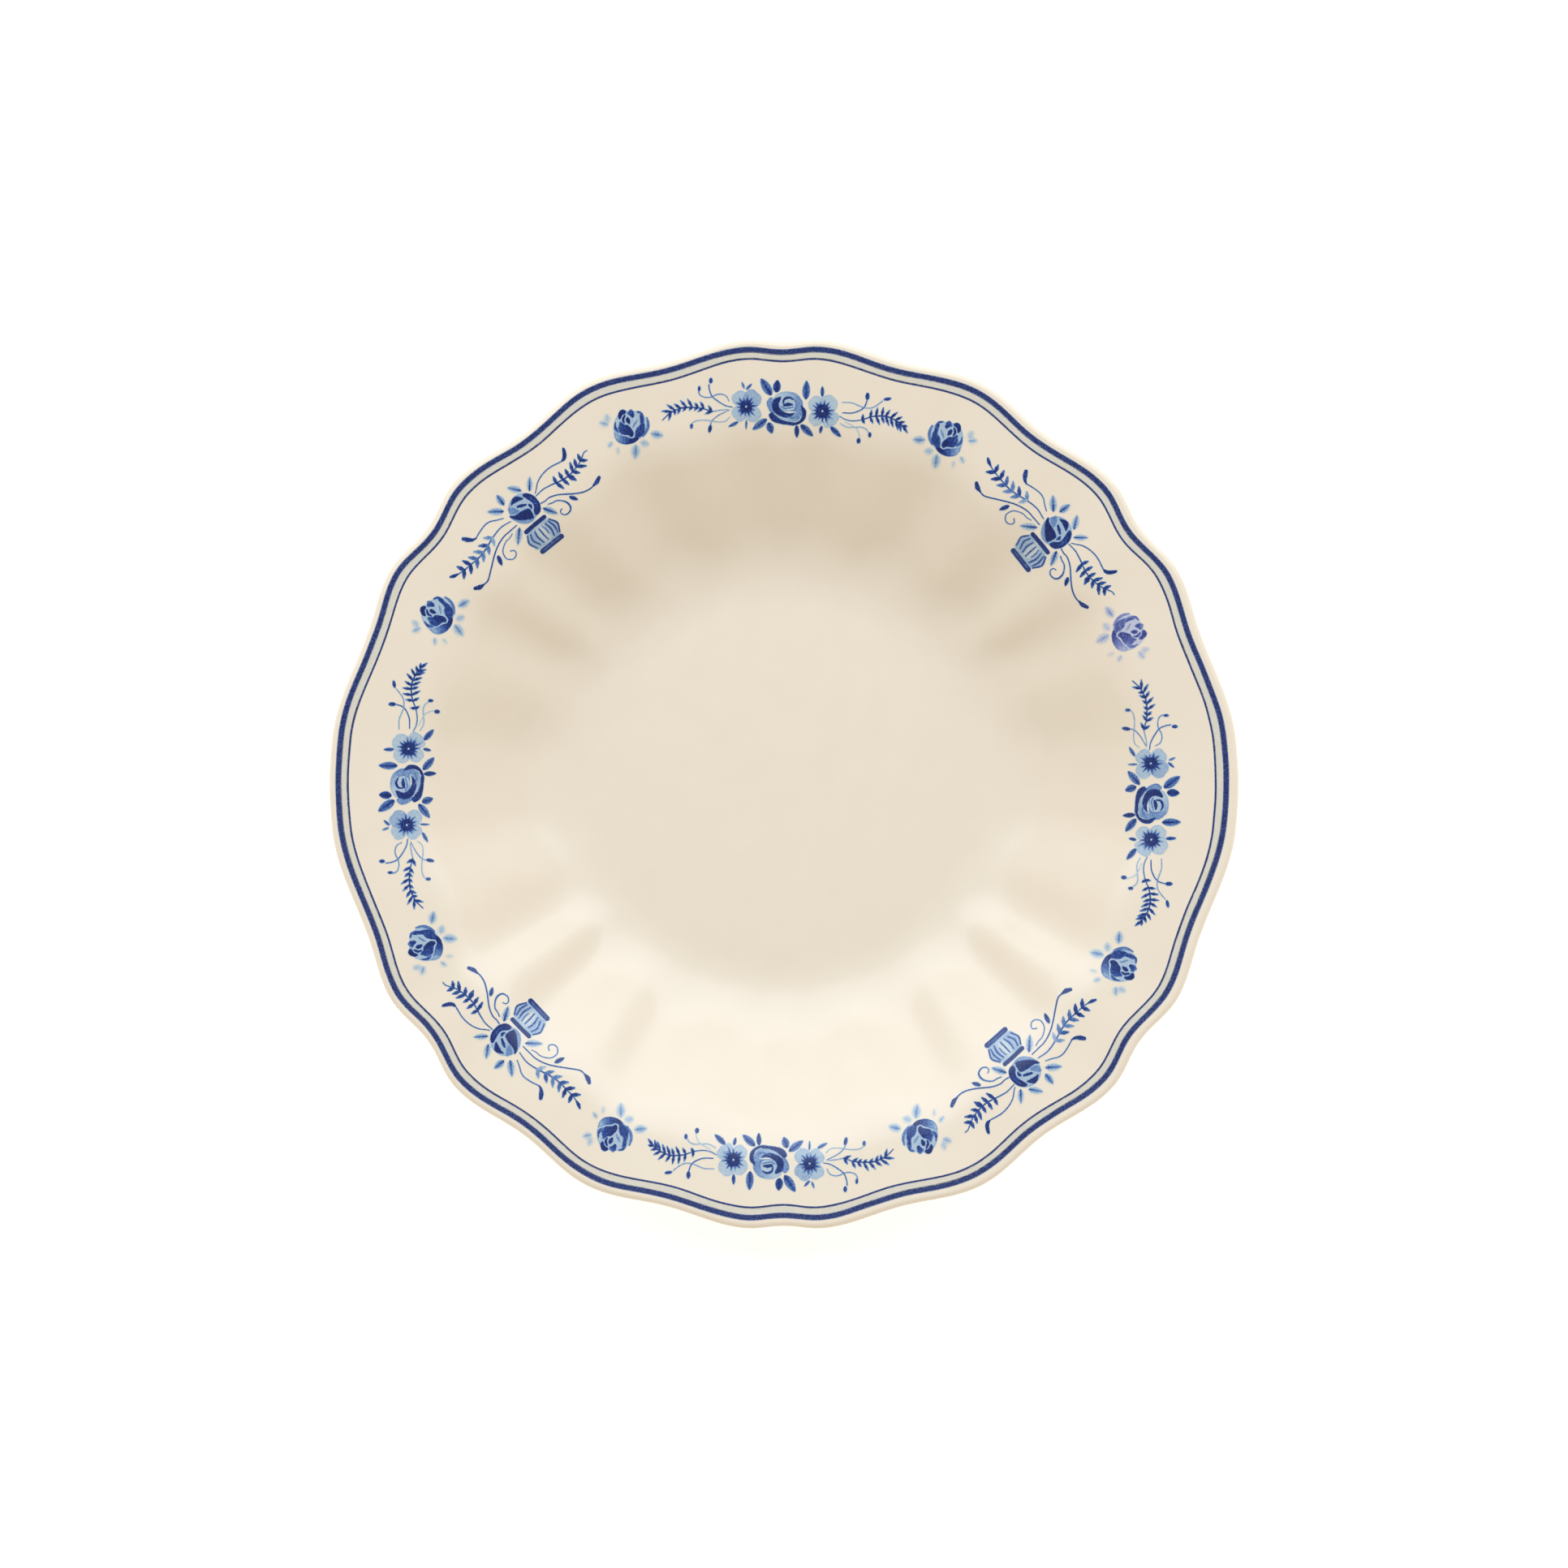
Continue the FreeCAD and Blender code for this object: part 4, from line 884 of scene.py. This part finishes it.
def print_material(name, stops, grain, grain_size):
    """Colour fired into the glaze: the ink value picks the colour, and grain breaks it up."""
    made, nodes, links = new_material(name)
    shader = nodes["Principled BSDF"]
    shader.inputs["Roughness"].default_value = GLOSS
    shader.inputs["IOR"].default_value = GLAZE_IOR
    ink = nodes.new("ShaderNodeAttribute")
    ink.attribute_name = INK_NAME
    speckle = noise(nodes, links, grain_size, 2.0)
    swing = nodes.new("ShaderNodeMapRange")
    swing.inputs["From Min"].default_value = 0.3
    swing.inputs["From Max"].default_value = 0.7
    swing.inputs["To Min"].default_value = 1 - grain
    swing.inputs["To Max"].default_value = 1 + grain
    links.new(speckle.outputs["Fac"], swing.inputs["Value"])
    amount = nodes.new("ShaderNodeMath")
    amount.operation = "MULTIPLY"
    links.new(ink.outputs["Fac"], amount.inputs[0])
    links.new(swing.outputs["Result"], amount.inputs[1])
    colours = ramp(nodes, stops)
    links.new(amount.outputs["Value"], colours.inputs["Fac"])
    links.new(colours.outputs["Color"], shader.inputs["Base Color"])
    soft_bump(nodes, links, shader, WAVE_SIZE, WAVE_STRENGTH)
    return made


# What each ink value looks like, from bare glaze to full strength.
BLUE = [(0.0, CREAM), (0.1, (209, 211, 206)), (0.22, (168, 189, 207)), (0.45, (98, 132, 182))]
BLUE += [(0.75, (32, 66, 140)), (1.0, (8, 30, 92))]
VIOLET = [(0.0, CREAM), (0.22, (180, 188, 210)), (0.45, (122, 134, 186)), (0.75, (70, 82, 148))]
VIOLET += [(1.0, (38, 46, 112))]
COBALT = [(0.0, CREAM), (0.3, (152, 162, 184)), (0.7, (62, 82, 138)), (1.0, (22, 40, 96))]
WASH = [(0.0, CREAM), (1.0, (214, 209, 195))]


def porcelain_material():
    """Bare fired porcelain on the standing face: white, matt, finely grained."""
    made, nodes, links = new_material("bare_porcelain")
    shader = nodes["Principled BSDF"]
    shader.inputs["Roughness"].default_value = 0.62
    grain = noise(nodes, links, 0.5, 4.0)
    colours = ramp(nodes, [(0.35, (216, 208, 192)), (0.65, (232, 226, 214))])
    links.new(grain.outputs["Fac"], colours.inputs["Fac"])
    links.new(colours.outputs["Color"], shader.inputs["Base Color"])
    soft_bump(nodes, links, shader, 0.5, 0.4)
    return made


def floor_material():
    """Plain white, and slightly bright of itself so that the plate's shadow stays faint."""
    made, nodes, _ = new_material("plain_floor")
    shader = nodes["Principled BSDF"]
    shader.inputs["Base Color"].default_value = (0.9, 0.9, 0.9, 1.0)
    shader.inputs["Roughness"].default_value = 0.9
    shader.inputs["Specular IOR Level"].default_value = 0.0
    shader.inputs["Emission Color"].default_value = (1.0, 1.0, 1.0, 1.0)
    shader.inputs["Emission Strength"].default_value = 0.5
    return made


# ---- The scene --------------------------------------------------------------------------------------


# Sections of the three bands: mean radius and ink. They are a little softer than the CAD bands.
BROAD_LINE = [(120.85, 0.0), (120.65, 0.6), (120.45, 0.95), (120.0, 0.95)]
BROAD_LINE += [(119.45, 0.95), (119.25, 0.6), (119.05, 0.0)]
PALE_WASH = [(119.2, 0.0), (119.0, 1.0), (118.3, 1.0), (117.7, 1.0), (117.5, 0.0)]
FINE_LINE = [(117.62, 0.0), (117.45, 0.85), (117.28, 1.0), (117.1, 0.85), (116.93, 0.0)]
# The second rose is printed paler and more violet than the others.
FADED_ROSE, FADED_INK = 2, 0.85


def build_plate():
    """The glaze, the bands and the prints, and materials for the CAD pieces that stay in sight."""
    glaze = glaze_material()
    blue = print_material("blue_print", BLUE, 0.22, 0.45)
    violet = print_material("violet_print", VIOLET, 0.25, 0.45)
    cobalt = print_material("cobalt_line", COBALT, 0.32, 0.4)
    wash = print_material("grey_wash", WASH, 0.25, 1.5)
    nodes = frame["nodes"]
    for name, material in (("porcelain_body", porcelain_material()), ("glaze_underfoot", glaze)):
        nodes[name].data.materials.clear()
        nodes[name].data.materials.append(material)
    glaze_surface(glaze)
    settle(band("rim_line_print", BROAD_LINE, cobalt, 0.07, 3), "rim_line")
    settle(band("rim_wash_print", PALE_WASH, wash, 0.0, 4), "rim_wash")
    settle(band("fine_line_print", FINE_LINE, cobalt, 0.05, 5), "fine_line")
    garland, vase, rose = draw_garland(), draw_vase(), draw_rose(1.0)
    pale_rose = draw_rose(FADED_INK)
    kinds = (("garland", GARLANDS, garland), ("vase", VASES, vase), ("rose", ROSES, rose))
    for kind, spots, drawing in kinds:
        for number, spot in enumerate(spots, start=1):
            faded = kind == "rose" and number == FADED_ROSE
            made = transfer(
                f"{kind}_print_{number}",
                pale_rose if faded else drawing,
                spot,
                violet if faded else blue,
            )
            settle(made, f"{kind}_transfer_{number}")


# The picture's width at the height of the rim, and the lens and sensor that set the distance.
VIEW_WIDTH = 431.0
LENS = 100.0
SENSOR = 36.0
RIM_HEIGHT = 31.5


def set_camera():
    """Straight above the middle, with +Y up in the picture."""
    data = bpy.data.cameras.new("camera")
    data.lens = LENS
    data.sensor_width = SENSOR
    made = bpy.data.objects.new("camera", data)
    made.location = (0, 0, (RIM_HEIGHT + VIEW_WIDTH * LENS / SENSOR) * MM)
    bpy.context.scene.collection.objects.link(made)
    bpy.context.scene.camera = made


# The soft light, in metres: width and depth, place, power and colour.
KEY_SIZE = (4.4, 2.2)
KEY_PLACE = (0.0, 1.60, 2.05)
KEY_POWER = 78.0
KEY_COLOUR = (0.70, 0.83, 1.0)
# Colour of the sky at the horizon, its strength, and its tone at the horizon, 30 degrees and overhead.
SKY = (255, 243, 222)
SKY_STRENGTH = 0.9
SKY_TONES = [(0.0, 1.0), (0.5, 0.93), (1.0, 0.64)]
FLOOR_REACH = 3000


def set_stage():
    """A plain floor, one large soft light from +Y at 52 degrees, and a pale sky."""
    corners = [(x * FLOOR_REACH, y * FLOOR_REACH, 0) for x, y in ((-1, -1), (1, -1), (1, 1), (-1, 1))]
    new_piece("floor", corners, [(0, 1, 2, 3)], floor_material())
    data = bpy.data.lights.new("key_light", "AREA")
    data.shape = "RECTANGLE"
    data.size, data.size_y = KEY_SIZE
    data.energy = KEY_POWER
    data.color = KEY_COLOUR
    made = bpy.data.objects.new("key_light", data)
    made.location = KEY_PLACE
    made.rotation_euler = (-made.location).to_track_quat("-Z", "Y").to_euler()
    bpy.context.scene.collection.objects.link(made)
    world = bpy.data.worlds.new("studio")
    world.use_nodes = True
    nodes, links = world.node_tree.nodes, world.node_tree.links
    where = nodes.new("ShaderNodeTexCoord")
    split = nodes.new("ShaderNodeSeparateXYZ")
    links.new(where.outputs["Generated"], split.inputs["Vector"])
    sky = ramp(nodes, [(height, tuple(value * tone for value in SKY)) for height, tone in SKY_TONES])
    links.new(split.outputs["Z"], sky.inputs["Fac"])
    links.new(sky.outputs["Color"], nodes["Background"].inputs["Color"])
    nodes["Background"].inputs["Strength"].default_value = SKY_STRENGTH
    bpy.context.scene.world = world
    bpy.context.scene.view_settings.view_transform = "Standard"


build_plate()
set_camera()
set_stage()
